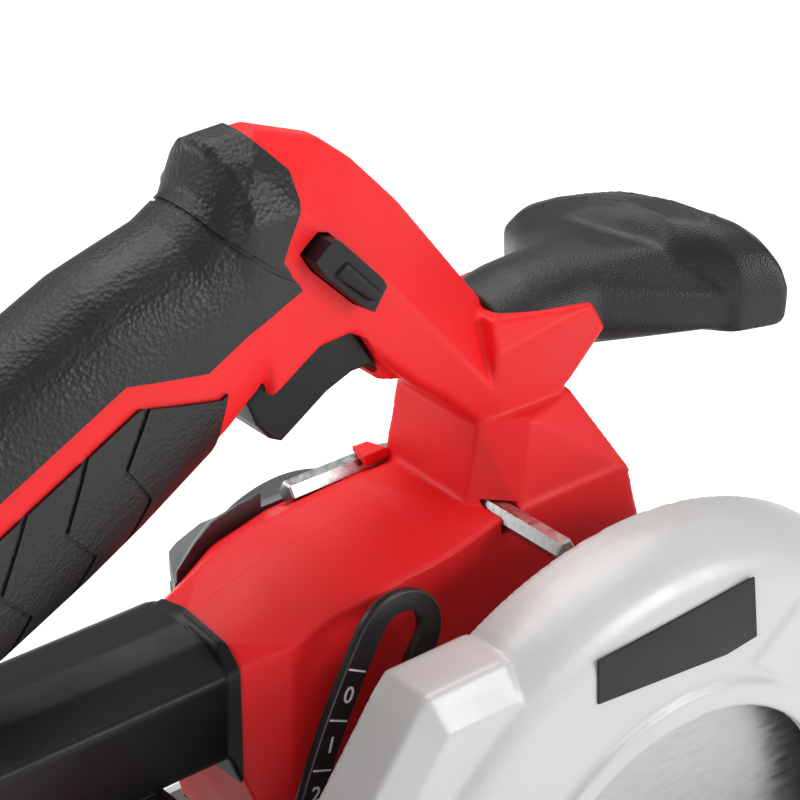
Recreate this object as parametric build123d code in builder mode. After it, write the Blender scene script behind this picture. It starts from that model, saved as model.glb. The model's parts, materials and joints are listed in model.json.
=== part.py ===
from build123d import *
from math import acos, atan2, cos, degrees, pi, radians, sin, tan
import os

# Circular saw, sizes in millimetres. +X is forward, +Y is left, +Z is up.
# The origin is on the underside of the sole plate, below the blade axis, in the
# parting plane of the handle. The blade stands on the right-hand (-Y) side.

# ---------------------------------------------------------------- driving sizes
BLADE_RADIUS = 82.5
BLADE_THICKNESS = 1.6
BLADE_TEETH = 24
BLADE_BORE_RADIUS = 10.0
CUT_DEPTH = 55.0
BLADE_Y = -55.0

SOLE_THICKNESS = 2.5
SOLE_FRONT = 128.0
SOLE_REAR = -132.0
SOLE_LEFT = 66.0
SOLE_RIGHT = -92.0
SOLE_RIM = 8.0

WALL = 3.0
HANDLE_HALF_WIDTH = 15.0
HANDLE_CHAMFER = 4.0
BODY_RIGHT = -24.0
BODY_LEFT = 20.5
GRIP_SKIN = 2.5

GUARD_GAP = 9.5
GUARD_WALL = 2.5
GUARD_LEFT = -44.3
GUARD_RIGHT = -66.5
GUARD_FLOOR = 10.0
HUB_OPENING_RADIUS = 50.0
LOWER_GUARD_WALL = 1.6
LOWER_GUARD_GAP = 2.2

MOTOR_AXIS = (-27.0, 66.0)
MOTOR_RADIUS = 29.0
MOTOR_LENGTH = 30.0
ARMATURE_RADIUS = 17.0
ROTOR_SHAFT_RADIUS = 4.0

FIRST_MODULE = 1.0
PINION_TEETH = 12
FIRST_GEAR_TEETH = 30
SECOND_MODULE = 1.25
SECOND_PINION_TEETH = 14
SPINDLE_GEAR_TEETH = 32
SPINDLE_RADIUS = 6.0
LAY_RADIUS = 4.0
RUNNING_GAP = 0.05
FREE_GAP = 0.4

PIVOT = (97.0, 14.0)
PIVOT_RADIUS = 4.0
DEPTH_ARC_RADIUS = 179.0
DEPTH_ARC_WIDTH = 24.0
DEPTH_SLOT_WIDTH = 11.0
DEPTH_TRAVEL = 30.0
DEPTH_BOLT_ANGLE = 179.0
BRACKET_LEFT = -33.0
BRACKET_THICKNESS = 2.5

BEVEL_Y = -62.0
BEVEL_TRAVEL = 45.0
BEVEL_BOLT_RADIUS = 46.0
BEVEL_BOLT_ANGLE = 20.0

BATTERY_FRONT = -106.0
BATTERY_LENGTH = 106.0
BATTERY_WIDTH = 74.0
BATTERY_TOP = 66.0
BATTERY_HEIGHT = 52.0

KEY_FLATS = 5.0
KEY_BEND = (-14.5, 117.0 - 1.6)
KEY_SHORT_ARM = 32.0
KEY_RIGHT_END = -42.0
KEY_LEFT_END = 17.0

TRIGGER_HALF_WIDTH = 11.0
SCREW_RADIUS = 2.0
SCREW_HEAD_RADIUS = 2.9

# ---------------------------------------------------------------- derived sizes
SPINDLE_Z = BLADE_RADIUS - CUT_DEPTH
SPINDLE = (0.0, SPINDLE_Z)
GUARD_RADIUS = BLADE_RADIUS + GUARD_GAP
BLADE_RIGHT = BLADE_Y - BLADE_THICKNESS / 2
BLADE_LEFT = BLADE_Y + BLADE_THICKNESS / 2
GEAR_CASE_LEFT = BODY_RIGHT - WALL
GEAR_ROOM_RIGHT = GUARD_LEFT + WALL
BATTERY_REAR = BATTERY_FRONT - BATTERY_LENGTH
CLAMP_Y = BRACKET_LEFT - BRACKET_THICKNESS


def polar(centre, radius, angle):
    """Point at an angle, in degrees from the first axis, round a centre."""
    return (
        centre[0] + radius * cos(radians(angle)),
        centre[1] + radius * sin(radians(angle)),
    )


def meeting_point(first, first_reach, second, second_reach):
    """Centre that lies at one reach from each of two centres, on the front side."""
    dx = second[0] - first[0]
    dz = second[1] - first[1]
    span = (dx * dx + dz * dz) ** 0.5
    along = (first_reach**2 + span**2 - second_reach**2) / (2 * span)
    across = (first_reach**2 - along**2) ** 0.5
    return (
        first[0] + (along * dx - across * dz) / span,
        first[1] + (along * dz + across * dx) / span,
    )


LAY_AXIS = meeting_point(
    MOTOR_AXIS,
    FIRST_MODULE * (PINION_TEETH + FIRST_GEAR_TEETH) / 2,
    SPINDLE,
    SECOND_MODULE * (SECOND_PINION_TEETH + SPINDLE_GEAR_TEETH) / 2,
)
CLAMP = polar(PIVOT, DEPTH_ARC_RADIUS, DEPTH_BOLT_ANGLE)


# ---------------------------------------------------------------- shared shapes
def side_plane(y):
    """Plane at Y whose sketch runs +X and +Z; its normal is -Y."""
    return Plane(origin=(0, y, 0), x_dir=(1, 0, 0), z_dir=(0, -1, 0))


def front_plane(x):
    """Plane at X whose sketch runs +Y and +Z; its normal is +X."""
    return Plane(origin=(x, 0, 0), x_dir=(0, 1, 0), z_dir=(1, 0, 0))


def slab(points, left, right, mode=Mode.ADD, taper=0.0):
    """Plate with the XZ outline given, from Y=left down to Y=right."""
    with BuildSketch(side_plane(left)) as outline:
        with BuildLine():
            Polyline(*points, close=True)
        make_face()
    extrude(outline.sketch, amount=left - right, mode=mode, taper=taper)


def wall(points, rear, front, mode=Mode.ADD):
    """Plate with the YZ outline given, from X=rear to X=front."""
    with BuildSketch(front_plane(rear)) as outline:
        with BuildLine():
            Polyline(*points, close=True)
        make_face()
    extrude(outline.sketch, amount=front - rear, mode=mode)


def disc(centre, radius, left, right, mode=Mode.ADD):
    """Round plug on a Y axis through centre (X, Z), from Y=left down to Y=right."""
    with BuildSketch(side_plane(left)) as outline:
        with Locations(centre):
            Circle(radius)
    extrude(outline.sketch, amount=left - right, mode=mode)


def rod(centre, radius, rear, front, mode=Mode.ADD):
    """Round bar on an X axis through centre (Y, Z), from X=rear to X=front."""
    with BuildSketch(front_plane(rear)) as outline:
        with Locations(centre):
            Circle(radius)
    extrude(outline.sketch, amount=front - rear, mode=mode)


def block(low, high, mode=Mode.ADD):
    """Box between two opposite corners."""
    middle = [(a + b) / 2 for a, b in zip(low, high)]
    size = [b - a for a, b in zip(low, high)]
    with Locations(tuple(middle)):
        Box(*size, mode=mode)


def hull_plate(circles, left, right, mode=Mode.ADD):
    """Plate whose XZ outline wraps round circles given as (centre, radius)."""
    with BuildSketch(side_plane(left)) as outline:
        for centre, radius in circles:
            with Locations(centre):
                Circle(radius)
        make_hull()
    extrude(outline.sketch, amount=left - right, mode=mode)


def gear(centre, teeth, module, left, right, phase):
    """Stub-tooth involute gear on a Y axis; phase is the angle of one tooth."""
    pitch = module * teeth / 2
    base = pitch * cos(radians(20))
    tip = pitch + 0.7 * module
    root = pitch - 1.1 * module
    half_tooth = 0.42 * pi / teeth
    spread = tan(radians(20)) - radians(20)
    flank = []
    for step in range(5):
        radius = max(base, root) + (tip - max(base, root)) * step / 4
        pressure = acos(base / radius)
        flank.append((radius, half_tooth + spread - (tan(pressure) - pressure)))
    points = []
    for tooth in range(teeth):
        middle = radians(phase) + 2 * pi * tooth / teeth
        side = [(root, flank[0][1])] + flank
        turned = [(r, middle - a) for r, a in side] + [(r, middle + a) for r, a in reversed(side)]
        points += [(centre[0] + r * cos(a), centre[1] + r * sin(a)) for r, a in turned]
    clean = [points[0]]
    for point in points[1:]:
        if (point[0] - clean[-1][0]) ** 2 + (point[1] - clean[-1][1]) ** 2 > 1e-6:
            clean.append(point)
    slab(clean, left, right)


def angle_between(first, second):
    """Direction from one XZ point to another, in degrees."""
    return degrees(atan2(second[1] - first[1], second[0] - first[0]))


def save(part, name):
    """Label a finished piece and write it to its own STEP file."""
    part.label = name
    export_step(part, f"parts/{name}.step")


os.makedirs("parts", exist_ok=True)

# ---------------------------------------------------------------- sole and bevel
SLOT_REACH = GUARD_RADIUS + 4
SLOT_RIGHT = BEVEL_Y - 7
SLOT_LEFT = -31.0

with BuildPart() as sole_plate:
    block((SOLE_REAR, SOLE_RIGHT, 0), (SOLE_FRONT, SOLE_LEFT, SOLE_THICKNESS))
    fillet(sole_plate.edges().filter_by(Axis.Z), radius=10)
    block((-SLOT_REACH, SLOT_RIGHT, -1), (SLOT_REACH, SLOT_LEFT, SOLE_THICKNESS + 1), Mode.SUBTRACT)
    rim_in = SOLE_LEFT - SOLE_THICKNESS
    block((SOLE_REAR + 10, rim_in, 0), (SOLE_FRONT - 10, SOLE_LEFT, SOLE_RIM))
    block((SOLE_FRONT - SOLE_THICKNESS, 0, 0), (SOLE_FRONT, SOLE_LEFT - 10, SOLE_RIM))
    notch_rear = SOLE_FRONT - 6
    block((notch_rear, BLADE_Y - 0.8, -1), (SOLE_FRONT + 1, BLADE_Y + 0.8, 9), Mode.SUBTRACT)
save(sole_plate.part, "sole_plate")

QUADRANT_REAR = 112.0
QUADRANT_FRONT = QUADRANT_REAR + SOLE_THICKNESS
REAR_EAR_FRONT = -99.0
REAR_EAR_REAR = REAR_EAR_FRONT - SOLE_THICKNESS
HINGE_Z = 9.5
HINGE = (BEVEL_Y, HINGE_Z)
HINGE_PIN_RADIUS = 2.5
BEVEL_BOLT = polar(HINGE, BEVEL_BOLT_RADIUS, BEVEL_BOLT_ANGLE)

with BuildPart() as bevel_quadrant:
    quadrant_outline = [(BEVEL_Y - 8, SOLE_THICKNESS), (-8, SOLE_THICKNESS), (-8, 30)]
    quadrant_outline += [(-24, 56), (-38, 62), (BEVEL_Y - 8, 18)]
    wall(quadrant_outline, QUADRANT_REAR, QUADRANT_FRONT)
    foot_low = (QUADRANT_FRONT, BEVEL_Y - 8, SOLE_THICKNESS)
    block(foot_low, (QUADRANT_FRONT + 9, -8, 2 * SOLE_THICKNESS))
    rod(HINGE, HINGE_PIN_RADIUS + RUNNING_GAP, QUADRANT_REAR - 1, QUADRANT_FRONT + 1, Mode.SUBTRACT)
    with BuildSketch(front_plane(QUADRANT_REAR - 1)) as bevel_slot:
        with BuildLine() as bevel_path:
            CenterArc(HINGE, BEVEL_BOLT_RADIUS, BEVEL_BOLT_ANGLE - 1, BEVEL_TRAVEL + 2)
        SlotArc(bevel_path.edges()[0], 2 * (HINGE_PIN_RADIUS + FREE_GAP))
    extrude(bevel_slot.sketch, amount=SOLE_THICKNESS + 2, mode=Mode.SUBTRACT)
save(bevel_quadrant.part, "bevel_quadrant")

with BuildPart() as rear_hinge_ear:
    ear_outline = [(BEVEL_Y - 8, SOLE_THICKNESS), (-30, SOLE_THICKNESS), (-30, 6), (-48, 6)]
    ear_outline += [(BEVEL_Y + 6, HINGE_Z + 5), (BEVEL_Y - 5, HINGE_Z + 5), (BEVEL_Y - 8, 10)]
    wall(ear_outline, REAR_EAR_REAR, REAR_EAR_FRONT)
    ear_low = (REAR_EAR_REAR - 9, BEVEL_Y - 8, SOLE_THICKNESS)
    block(ear_low, (REAR_EAR_REAR, -30, 2 * SOLE_THICKNESS))
    rod(HINGE, HINGE_PIN_RADIUS + RUNNING_GAP, REAR_EAR_REAR - 1, REAR_EAR_FRONT + 1, Mode.SUBTRACT)
save(rear_hinge_ear.part, "rear_hinge_ear")

with BuildPart() as base_rivets:
    rivet_places = [(QUADRANT_FRONT + 5, BEVEL_Y + 4), (QUADRANT_FRONT + 5, -14)]
    rivet_places += [(REAR_EAR_REAR - 5, BEVEL_Y + 4), (REAR_EAR_REAR - 5, -36)]
    with BuildSketch(Plane.XY.offset(2 * SOLE_THICKNESS)):
        with Locations(*rivet_places):
            Circle(2.6)
    extrude(amount=1.4)
save(base_rivets.part, "base_rivets")

FENCE_Y = 36.0
with BuildPart() as fence_clamp:
    block((96, FENCE_Y - 16, SOLE_THICKNESS), (120, FENCE_Y + 16, 13))
    block((95, FENCE_Y - 20, SOLE_THICKNESS), (121, FENCE_Y - 16, 5))
    block((100.5, FENCE_Y - 25, SOLE_THICKNESS + 0.5), (115.5, FENCE_Y + 25, 8), Mode.SUBTRACT)
    with Locations((108, FENCE_Y, 13)):
        Cylinder(3 + RUNNING_GAP, 20, mode=Mode.SUBTRACT)
save(fence_clamp.part, "fence_clamp")

with BuildPart() as fence_screw:
    with BuildSketch(Plane.XY.offset(8.4)):
        with Locations((108, FENCE_Y)):
            Circle(3)
    extrude(amount=7)
    with BuildSketch(Plane.XY.offset(14)):
        with Locations((108, FENCE_Y)):
            RegularPolygon(11, 6)
            Circle(9.6)
    extrude(amount=11)
    fillet(fence_screw.faces().sort_by(Axis.Z)[-1].edges(), radius=1.5)
save(fence_screw.part, "fence_screw")

FRAME_FRONT = QUADRANT_REAR - 0.3
FRAME_REAR = REAR_EAR_FRONT + 0.3
RAIL_Y = -20.0
with BuildPart() as bevel_frame:
    plate_outline = [(BEVEL_Y - 5, HINGE_Z - 1.5), (BEVEL_Y - 1, 4.5), (-12, 4.5), (-12, 26)]
    plate_outline += [(BEVEL_Y + 10, 26), (BEVEL_Y - 5, 16)]
    wall(plate_outline, FRAME_FRONT - WALL, FRAME_FRONT)
    rear_outline = [(BEVEL_Y - 5, HINGE_Z - 1.5), (BEVEL_Y - 1, 4.5), (-12, 4.5), (-12, 22)]
    rear_outline += [(CLAMP_Y - 0.1, 22), (CLAMP_Y - 0.1, 8.5), (BEVEL_Y + 10, 8.5)]
    rear_outline += [(BEVEL_Y + 5, HINGE_Z + 5)]
    wall(rear_outline + [(BEVEL_Y - 5, HINGE_Z + 5)], FRAME_REAR, FRAME_REAR + WALL)
    block((FRAME_REAR, RAIL_Y, 4), (FRAME_FRONT, RAIL_Y + 8, 7))
    block((PIVOT[0] - 8, -41, 4), (FRAME_FRONT, -38, 22))
    disc(PIVOT, 8, -38, -41)
    disc(PIVOT, PIVOT_RADIUS + RUNNING_GAP, -37, -42, Mode.SUBTRACT)
    rod(HINGE, HINGE_PIN_RADIUS + RUNNING_GAP, FRAME_FRONT - 4, FRAME_FRONT + 1, Mode.SUBTRACT)
    rod(HINGE, HINGE_PIN_RADIUS + RUNNING_GAP, FRAME_REAR - 1, FRAME_REAR + 4, Mode.SUBTRACT)
    rod(BEVEL_BOLT, HINGE_PIN_RADIUS, FRAME_FRONT - 4, FRAME_FRONT + 1, Mode.SUBTRACT)
save(bevel_frame.part, "bevel_frame")

with BuildPart() as bevel_hinge_pins:
    rod(HINGE, HINGE_PIN_RADIUS, FRAME_FRONT - 4.2, QUADRANT_FRONT + 1.5)
    rod(HINGE, HINGE_PIN_RADIUS + 1.5, QUADRANT_FRONT + 0.2, QUADRANT_FRONT + 2)
    rod(HINGE, HINGE_PIN_RADIUS, REAR_EAR_REAR - 1.5, FRAME_REAR + 4.2)
    rod(HINGE, HINGE_PIN_RADIUS + 1.5, REAR_EAR_REAR - 2, REAR_EAR_REAR - 0.2)
save(bevel_hinge_pins.part, "bevel_hinge_pins")

with BuildPart() as bevel_lock_bolt:
    rod(BEVEL_BOLT, HINGE_PIN_RADIUS, FRAME_FRONT - WALL, QUADRANT_FRONT + 10)
    rod(BEVEL_BOLT, HINGE_PIN_RADIUS + 2.5, FRAME_FRONT - WALL - 2.5, FRAME_FRONT - WALL)
save(bevel_lock_bolt.part, "bevel_lock_bolt")

with BuildPart() as bevel_lever:
    rod(BEVEL_BOLT, 7.5, QUADRANT_FRONT + 0.4, QUADRANT_FRONT + 10)
    arm_end = (BEVEL_BOLT[0] + 34, BEVEL_BOLT[1] + 6)
    with BuildSketch(front_plane(QUADRANT_FRONT + 3)) as lever_outline:
        with Locations(BEVEL_BOLT):
            Circle(7.5)
        with Locations(arm_end):
            Circle(5)
        make_hull()
    extrude(lever_outline.sketch, amount=7)
    rod(BEVEL_BOLT, HINGE_PIN_RADIUS + RUNNING_GAP, QUADRANT_FRONT, QUADRANT_FRONT + 11, Mode.SUBTRACT)
save(bevel_lever.part, "bevel_lever")

ARC_TOP_ANGLE = DEPTH_BOLT_ANGLE - DEPTH_TRAVEL
with BuildPart() as depth_bracket:
    with BuildSketch(side_plane(BRACKET_LEFT)) as arc_outline:
        with BuildLine() as arc_path:
            CenterArc(PIVOT, DEPTH_ARC_RADIUS, ARC_TOP_ANGLE, DEPTH_TRAVEL)
        SlotArc(arc_path.edges()[0], DEPTH_ARC_WIDTH)
    extrude(arc_outline.sketch, amount=BRACKET_THICKNESS)
    foot_x = FRAME_REAR + WALL
    block((foot_x, BRACKET_LEFT - BRACKET_THICKNESS, 5), (CLAMP[0] + 8, BRACKET_LEFT, 22))
    with BuildSketch(side_plane(BRACKET_LEFT + 1)) as arc_slot:
        with BuildLine() as slot_path:
            CenterArc(PIVOT, DEPTH_ARC_RADIUS, ARC_TOP_ANGLE - 0.5, DEPTH_TRAVEL + 1)
        SlotArc(slot_path.edges()[0], DEPTH_SLOT_WIDTH)
    extrude(arc_slot.sketch, amount=BRACKET_THICKNESS + 2, mode=Mode.SUBTRACT)
save(depth_bracket.part, "depth_bracket")

# ---------------------------------------------------------------- depth clamp
with BuildPart() as depth_pivot_pin:
    disc(PIVOT, PIVOT_RADIUS, -36.5, -49)
    disc(PIVOT, PIVOT_RADIUS + 2.5, -35, -37.8)
    disc(PIVOT, PIVOT_RADIUS + 1.3, GUARD_LEFT - WALL - 0.4, GUARD_LEFT - WALL - 2)
save(depth_pivot_pin.part, "depth_pivot_pin")

BOLT_RADIUS = 2.8
with BuildPart() as depth_clamp_bolt:
    disc(CLAMP, BOLT_RADIUS, BODY_RIGHT - 2, CLAMP_Y - 7)
    disc(CLAMP, DEPTH_SLOT_WIDTH / 2 - FREE_GAP, BRACKET_LEFT + FREE_GAP, CLAMP_Y - 0.3)
    disc(CLAMP, BOLT_RADIUS + 3, BODY_RIGHT, BODY_RIGHT - 3)
save(depth_clamp_bolt.part, "depth_clamp_bolt")

with BuildPart() as depth_lever:
    lever_left = CLAMP_Y - 2
    lever_right = GUARD_LEFT + 0.6
    hull_plate([(CLAMP, 8), ((CLAMP[0] - 56, CLAMP[1] + 10), 6)], lever_left, lever_right)
    disc(CLAMP, BOLT_RADIUS + RUNNING_GAP, lever_left + 1, lever_right - 1, Mode.SUBTRACT)
save(depth_lever.part, "depth_lever")

# ---------------------------------------------------------------- main housing
BODY = [(-76, 42), (-76, 103), (-62, 114.5), (-50, 116.8), (-20, 117.5), (21, 117)]
BODY += [(29.5, 90), (31, 44), (14, 30), (-62, 30)]
BRIDGE = [(21, 117), (15, 125), (10, 134), (10, 139), (21, 148), (17, 155), (4, 157.5)]
BRIDGE += [(-2.4, 159.6), (-21.4, 184.2)]
BRIDGE += [(-42.4, 205), (-61.4, 214.3), (-75.4, 214.7), (-80.8, 206), (-98.4, 199)]
BRIDGE += [(-123, 189.5), (-186, 164), (-207, 146), (-212, 124), (-212, 78), (-86.5, 78)]
BRIDGE += [(-70, 90), (-20, 100)]
LOOP = [(-41.5, 155.5), (-43.9, 161.4), (-48.1, 168.2), (-51.5, 169.9), (-57.5, 169.1)]
LOOP += [(-63.5, 165.7), (-70.3, 159.7), (-74.5, 154.6), (-78, 152), (-84.2, 152.6)]
LOOP += [(-92.2, 145.9), (-118.3, 131), (-150, 116), (-156, 108), (-150, 106.3)]
LOOP += [(-86.5, 106.3), (-59, 114.4), (-20, 117.5), (-14, 130.4), (-14.6, 135.3)]
LOOP += [(-26.9, 146.4), (-35.3, 151.2)]
BODY_ROOM = [(-73, 44), (-73, 101), (-61, 111), (-49, 113.5), (17, 113.5), (26, 90), (28, 46)]
BODY_ROOM += [(13, 33), (-60, 33)]
GRIP_ROOM = [(-19, 113), (-10, 130), (-10, 136), (-37, 164), (-46, 173.5), (-56, 174.5)]
GRIP_ROOM += [(-68, 166), (-77, 158), (-84, 158), (-120, 138)]
GRIP_ROOM += [(-162, 118), (-165, 102), (-90, 102), (-86, 82), (-208, 82), (-208, 124)]
GRIP_ROOM += [(-203, 144), (-184, 160), (-120, 184), (-84, 197), (-78, 208), (-62, 209)]
GRIP_ROOM += [(-44, 200), (-24, 181), (-4, 153), (4, 139), (4, 133), (12, 119), (13, 113)]
TRIGGER = [(-74.5, 154.6), (-71.1, 150.3), (-68, 148.6), (-62.6, 152), (-55.8, 156.3)]
TRIGGER += [(-49, 158.8), (-45.6, 158.8), (-41.3, 156.3), (-43.9, 161.4), (-48.1, 168.2)]
TRIGGER += [(-51, 174), (-58, 177), (-67, 172), (-77, 161)]
TRIGGER_WINDOW = [(-81, 165), (-79, 157), (-74, 152), (-70, 146), (-40.7, 155.5)]
TRIGGER_WINDOW += [(-43.3, 161.9), (-47.5, 168.8), (-50, 176), (-52, 181), (-60.5, 184), (-71, 178.5)]
BUTTON = [(-65.2, 192.9), (-60.9, 196.3), (-58.4, 195.5), (-47.3, 183.6), (-46.4, 181.8)]
BUTTON += [(-49.8, 176.7), (-52.4, 178.4), (-62.6, 188.7)]
BUTTON_CENTRE = (-56.0, 187.0)
KNOB_BOLT = (0.0, 148.5)
KNOB_BOLT_RADIUS = 3.0
KNOB_BOLT_HEAD = 5.5
KNOB_BOLT_SEAT = 12.0
KEY_PLANE_Z = KEY_BEND[1]


def grown(points, centre, gap):
    """Outline moved outwards from a centre by a gap, point by point."""
    moved = []
    for x, z in points:
        reach = ((x - centre[0]) ** 2 + (z - centre[1]) ** 2) ** 0.5
        share = (reach + gap) / reach
        moved.append((centre[0] + (x - centre[0]) * share, centre[1] + (z - centre[1]) * share))
    return moved


def handle_half(side):
    """Solid part of one housing half's handle; side is +1 left or -1 right."""
    flat = side * (HANDLE_HALF_WIDTH - HANDLE_CHAMFER)
    slab(BRIDGE, max(0, flat), min(0, flat))
    with BuildSketch(side_plane(flat)) as shoulder:
        with BuildLine():
            Polyline(*BRIDGE, close=True)
        make_face()
    extrude(shoulder.sketch, amount=-side * HANDLE_CHAMFER, taper=35)


def hollow(side):
    """Open the loop, the inner room and the windows of one half."""
    room = side * (HANDLE_HALF_WIDTH - WALL)
    slab(LOOP, HANDLE_HALF_WIDTH + 1, -HANDLE_HALF_WIDTH - 1, Mode.SUBTRACT)
    slab(GRIP_ROOM, max(0, room), min(0, room), Mode.SUBTRACT)
    slab(TRIGGER_WINDOW, TRIGGER_HALF_WIDTH + FREE_GAP, -TRIGGER_HALF_WIDTH - FREE_GAP, Mode.SUBTRACT)
    window = grown(BUTTON, BUTTON_CENTRE, FREE_GAP)
    slab(window, HANDLE_HALF_WIDTH + 2, -HANDLE_HALF_WIDTH - 2, Mode.SUBTRACT)
    rod(KNOB_BOLT, KNOB_BOLT_HEAD, -2, KNOB_BOLT_SEAT, Mode.SUBTRACT)
    rod(KNOB_BOLT, KNOB_BOLT_RADIUS, 0, 30, Mode.SUBTRACT)
    key = KEY_FLATS / 2 + FREE_GAP
    low = (KEY_BEND[0] - KEY_SHORT_ARM - 2, BODY_RIGHT - 1, KEY_PLANE_Z - key)
    key_front = KEY_BEND[0] + key
    high = (key_front, BODY_LEFT + 1, KEY_PLANE_Z + key)
    block((KEY_BEND[0] - key, low[1], low[2]), high, Mode.SUBTRACT)
    block((low[0], KEY_LEFT_END - key, low[2]), (key_front, BODY_LEFT + 1, 130), Mode.SUBTRACT)


def battery_foot_half(side):
    """Wider foot under the rear of the handle that carries the battery rails."""
    inner, outer = 0, side * BATTERY_WIDTH / 2
    slab([(-212, 70), (-212, 78), (-104, 78), (-104, 70)], max(inner, outer), min(inner, outer))
    rail = side * (BATTERY_WIDTH / 2 - 14)
    rail_end = side * (BATTERY_WIDTH / 2 - 19)
    foot_rear = BATTERY_REAR + 6
    foot_low = BATTERY_TOP - 5.5
    foot = [(foot_rear, foot_low), (foot_rear, 70), (-108, 70), (-108, foot_low)]
    slab(foot, max(rail, rail_end), min(rail, rail_end))


with BuildPart() as housing_right:
    handle_half(-1)
    slab(BODY, 0, BODY_RIGHT + HANDLE_CHAMFER)
    slab(BODY, BODY_RIGHT + HANDLE_CHAMFER, BODY_RIGHT, Mode.ADD, 30)
    battery_foot_half(-1)
    slab(BODY_ROOM, 0, BODY_RIGHT + WALL, Mode.SUBTRACT)
    hollow(-1)
    hull_plate([(CLAMP, 7), ((-70, 44), 7)], BODY_RIGHT + 5, BRACKET_LEFT + FREE_GAP)
    disc(CLAMP, BOLT_RADIUS + 3, BODY_RIGHT + 6, BODY_RIGHT - 3, Mode.SUBTRACT)
    disc(CLAMP, BOLT_RADIUS, BODY_RIGHT + 6, BRACKET_LEFT - 1, Mode.SUBTRACT)
    disc(MOTOR_AXIS, 12, 0, BODY_RIGHT - 1, Mode.SUBTRACT)
    disc(SPINDLE, 12, 0, BODY_RIGHT - 1, Mode.SUBTRACT)
    disc(LAY_AXIS, LAY_RADIUS + 3.5, 0, BODY_RIGHT - 1, Mode.SUBTRACT)
save(housing_right.part, "housing_right")

with BuildPart() as housing_left:
    handle_half(1)
    slab(BODY, BODY_LEFT, 0)
    battery_foot_half(1)
    slab(BODY_ROOM, BODY_LEFT + 1, 0, Mode.SUBTRACT)
    hollow(1)
save(housing_left.part, "housing_left")

# ---------------------------------------------------------------- grips
GRIP = [(-79, 208), (-80.8, 206), (-98.4, 199), (-123, 189.5), (-186, 164), (-207, 146)]
GRIP += [(-212, 124), (-212, 82), (-196, 82), (-188, 110), (-170, 122), (-156, 112)]
GRIP += [(-150, 116), (-118.3, 131), (-92.2, 145.9), (-86.5, 152), (-86, 168.2)]
GRIP += [(-107.8, 172.5), (-141, 156.3), (-168, 144), (-171, 150), (-140.2, 163.9)]
GRIP += [(-110.3, 178.4), (-90.7, 175), (-80.5, 180.1), (-66, 185.3), (-70.9, 193.4), (-66, 205)]
LOWER_BAR = [(-87.5, 106.3), (-156, 106.3), (-172, 116), (-186, 100), (-186, 82), (-87.5, 82)]
SKIN_OUT = HANDLE_HALF_WIDTH + GRIP_SKIN

with BuildPart() as grip_overmould:
    slab(GRIP, SKIN_OUT, HANDLE_HALF_WIDTH)
    slab(GRIP, -HANDLE_HALF_WIDTH, -SKIN_OUT)
    slab(LOOP, SKIN_OUT + 1, -SKIN_OUT - 1, Mode.SUBTRACT)
    button_window = grown(BUTTON, BUTTON_CENTRE, FREE_GAP)
    slab(button_window, SKIN_OUT + 1, -SKIN_OUT - 1, Mode.SUBTRACT)
    chamfer(grip_overmould.faces().sort_by(Axis.Y)[-1].outer_wire().edges(), length=1.5)
    chamfer(grip_overmould.faces().sort_by(Axis.Y)[0].outer_wire().edges(), length=1.5)
save(grip_overmould.part, "grip_overmould")

with BuildPart() as lower_bar_skin:
    slab(LOWER_BAR, SKIN_OUT - 1, HANDLE_HALF_WIDTH)
    slab(LOWER_BAR, -HANDLE_HALF_WIDTH, -SKIN_OUT + 1)
    slab(GRIP, SKIN_OUT + 1, -SKIN_OUT - 1, Mode.SUBTRACT)
    slab(LOOP, SKIN_OUT + 1, -SKIN_OUT - 1, Mode.SUBTRACT)
save(lower_bar_skin.part, "lower_bar_skin")

KNOB_BAND = (142.0, 152.0)
KNOB_CROWN = 16.0
KNOB_HEAD = [(28, 26), (33, 34), (39, 36), (50, 29), (58, 12), (63, -6), (66, -24), (62, -33)]
KNOB_HEAD += [(50, -29), (44, -21), (37, -8), (31, 10)]
with BuildPart() as front_knob:
    with BuildSketch(front_plane(6)):
        with Locations((0, 150)):
            Ellipse(15, 10)
    with BuildSketch(front_plane(40)):
        with Locations((0, 151)):
            Ellipse(20, 10)
    loft()
    with BuildSketch(Plane.XY.offset(KNOB_BAND[0])) as head:
        with BuildLine():
            Polyline(*KNOB_HEAD, close=True)
        make_face()
    extrude(head.sketch, amount=KNOB_BAND[1] - KNOB_BAND[0], dir=(0, 0, 1))
    crown_face = front_knob.faces().filter_by(Axis.Z).sort_by(Axis.Z)[-1]
    extrude(crown_face, amount=KNOB_CROWN, taper=30)
    slab(BRIDGE, HANDLE_HALF_WIDTH + 4, -HANDLE_HALF_WIDTH - 4, Mode.SUBTRACT)
    rod(KNOB_BOLT, KNOB_BOLT_RADIUS, 10, 40, Mode.SUBTRACT)
save(front_knob.part, "front_knob")

with BuildPart() as knob_bolt:
    rod(KNOB_BOLT, KNOB_BOLT_RADIUS, KNOB_BOLT_SEAT, 39)
    rod(KNOB_BOLT, KNOB_BOLT_HEAD, KNOB_BOLT_SEAT - 3, KNOB_BOLT_SEAT)
save(knob_bolt.part, "knob_bolt")

# ---------------------------------------------------------------- guard
SHOULDER = 14.0
ROOM_SHOULDER = 8.0


def guard_form(radius, left, right, shoulder, mode=Mode.ADD):
    """Round drum on the spindle axis with a wide rounded right-hand shoulder."""
    with BuildSketch(Plane(origin=(0, 0, SPINDLE_Z), x_dir=(0, 1, 0), z_dir=(1, 0, 0))) as outline:
        with BuildLine():
            shoulder_left = right + shoulder * 1.15
            Polyline((left, 0), (left, radius), (shoulder_left, radius))
            corner = (shoulder_left, radius - shoulder)
            EllipticalCenterArc(corner, shoulder * 1.15, shoulder, 90, arc_size=90)
            Polyline((right, radius - shoulder), (right, 0), (left, 0))
        make_face()
    revolve(outline.sketch, Axis((0, 0, SPINDLE_Z), (0, 1, 0)), 360, mode=mode)


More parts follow.
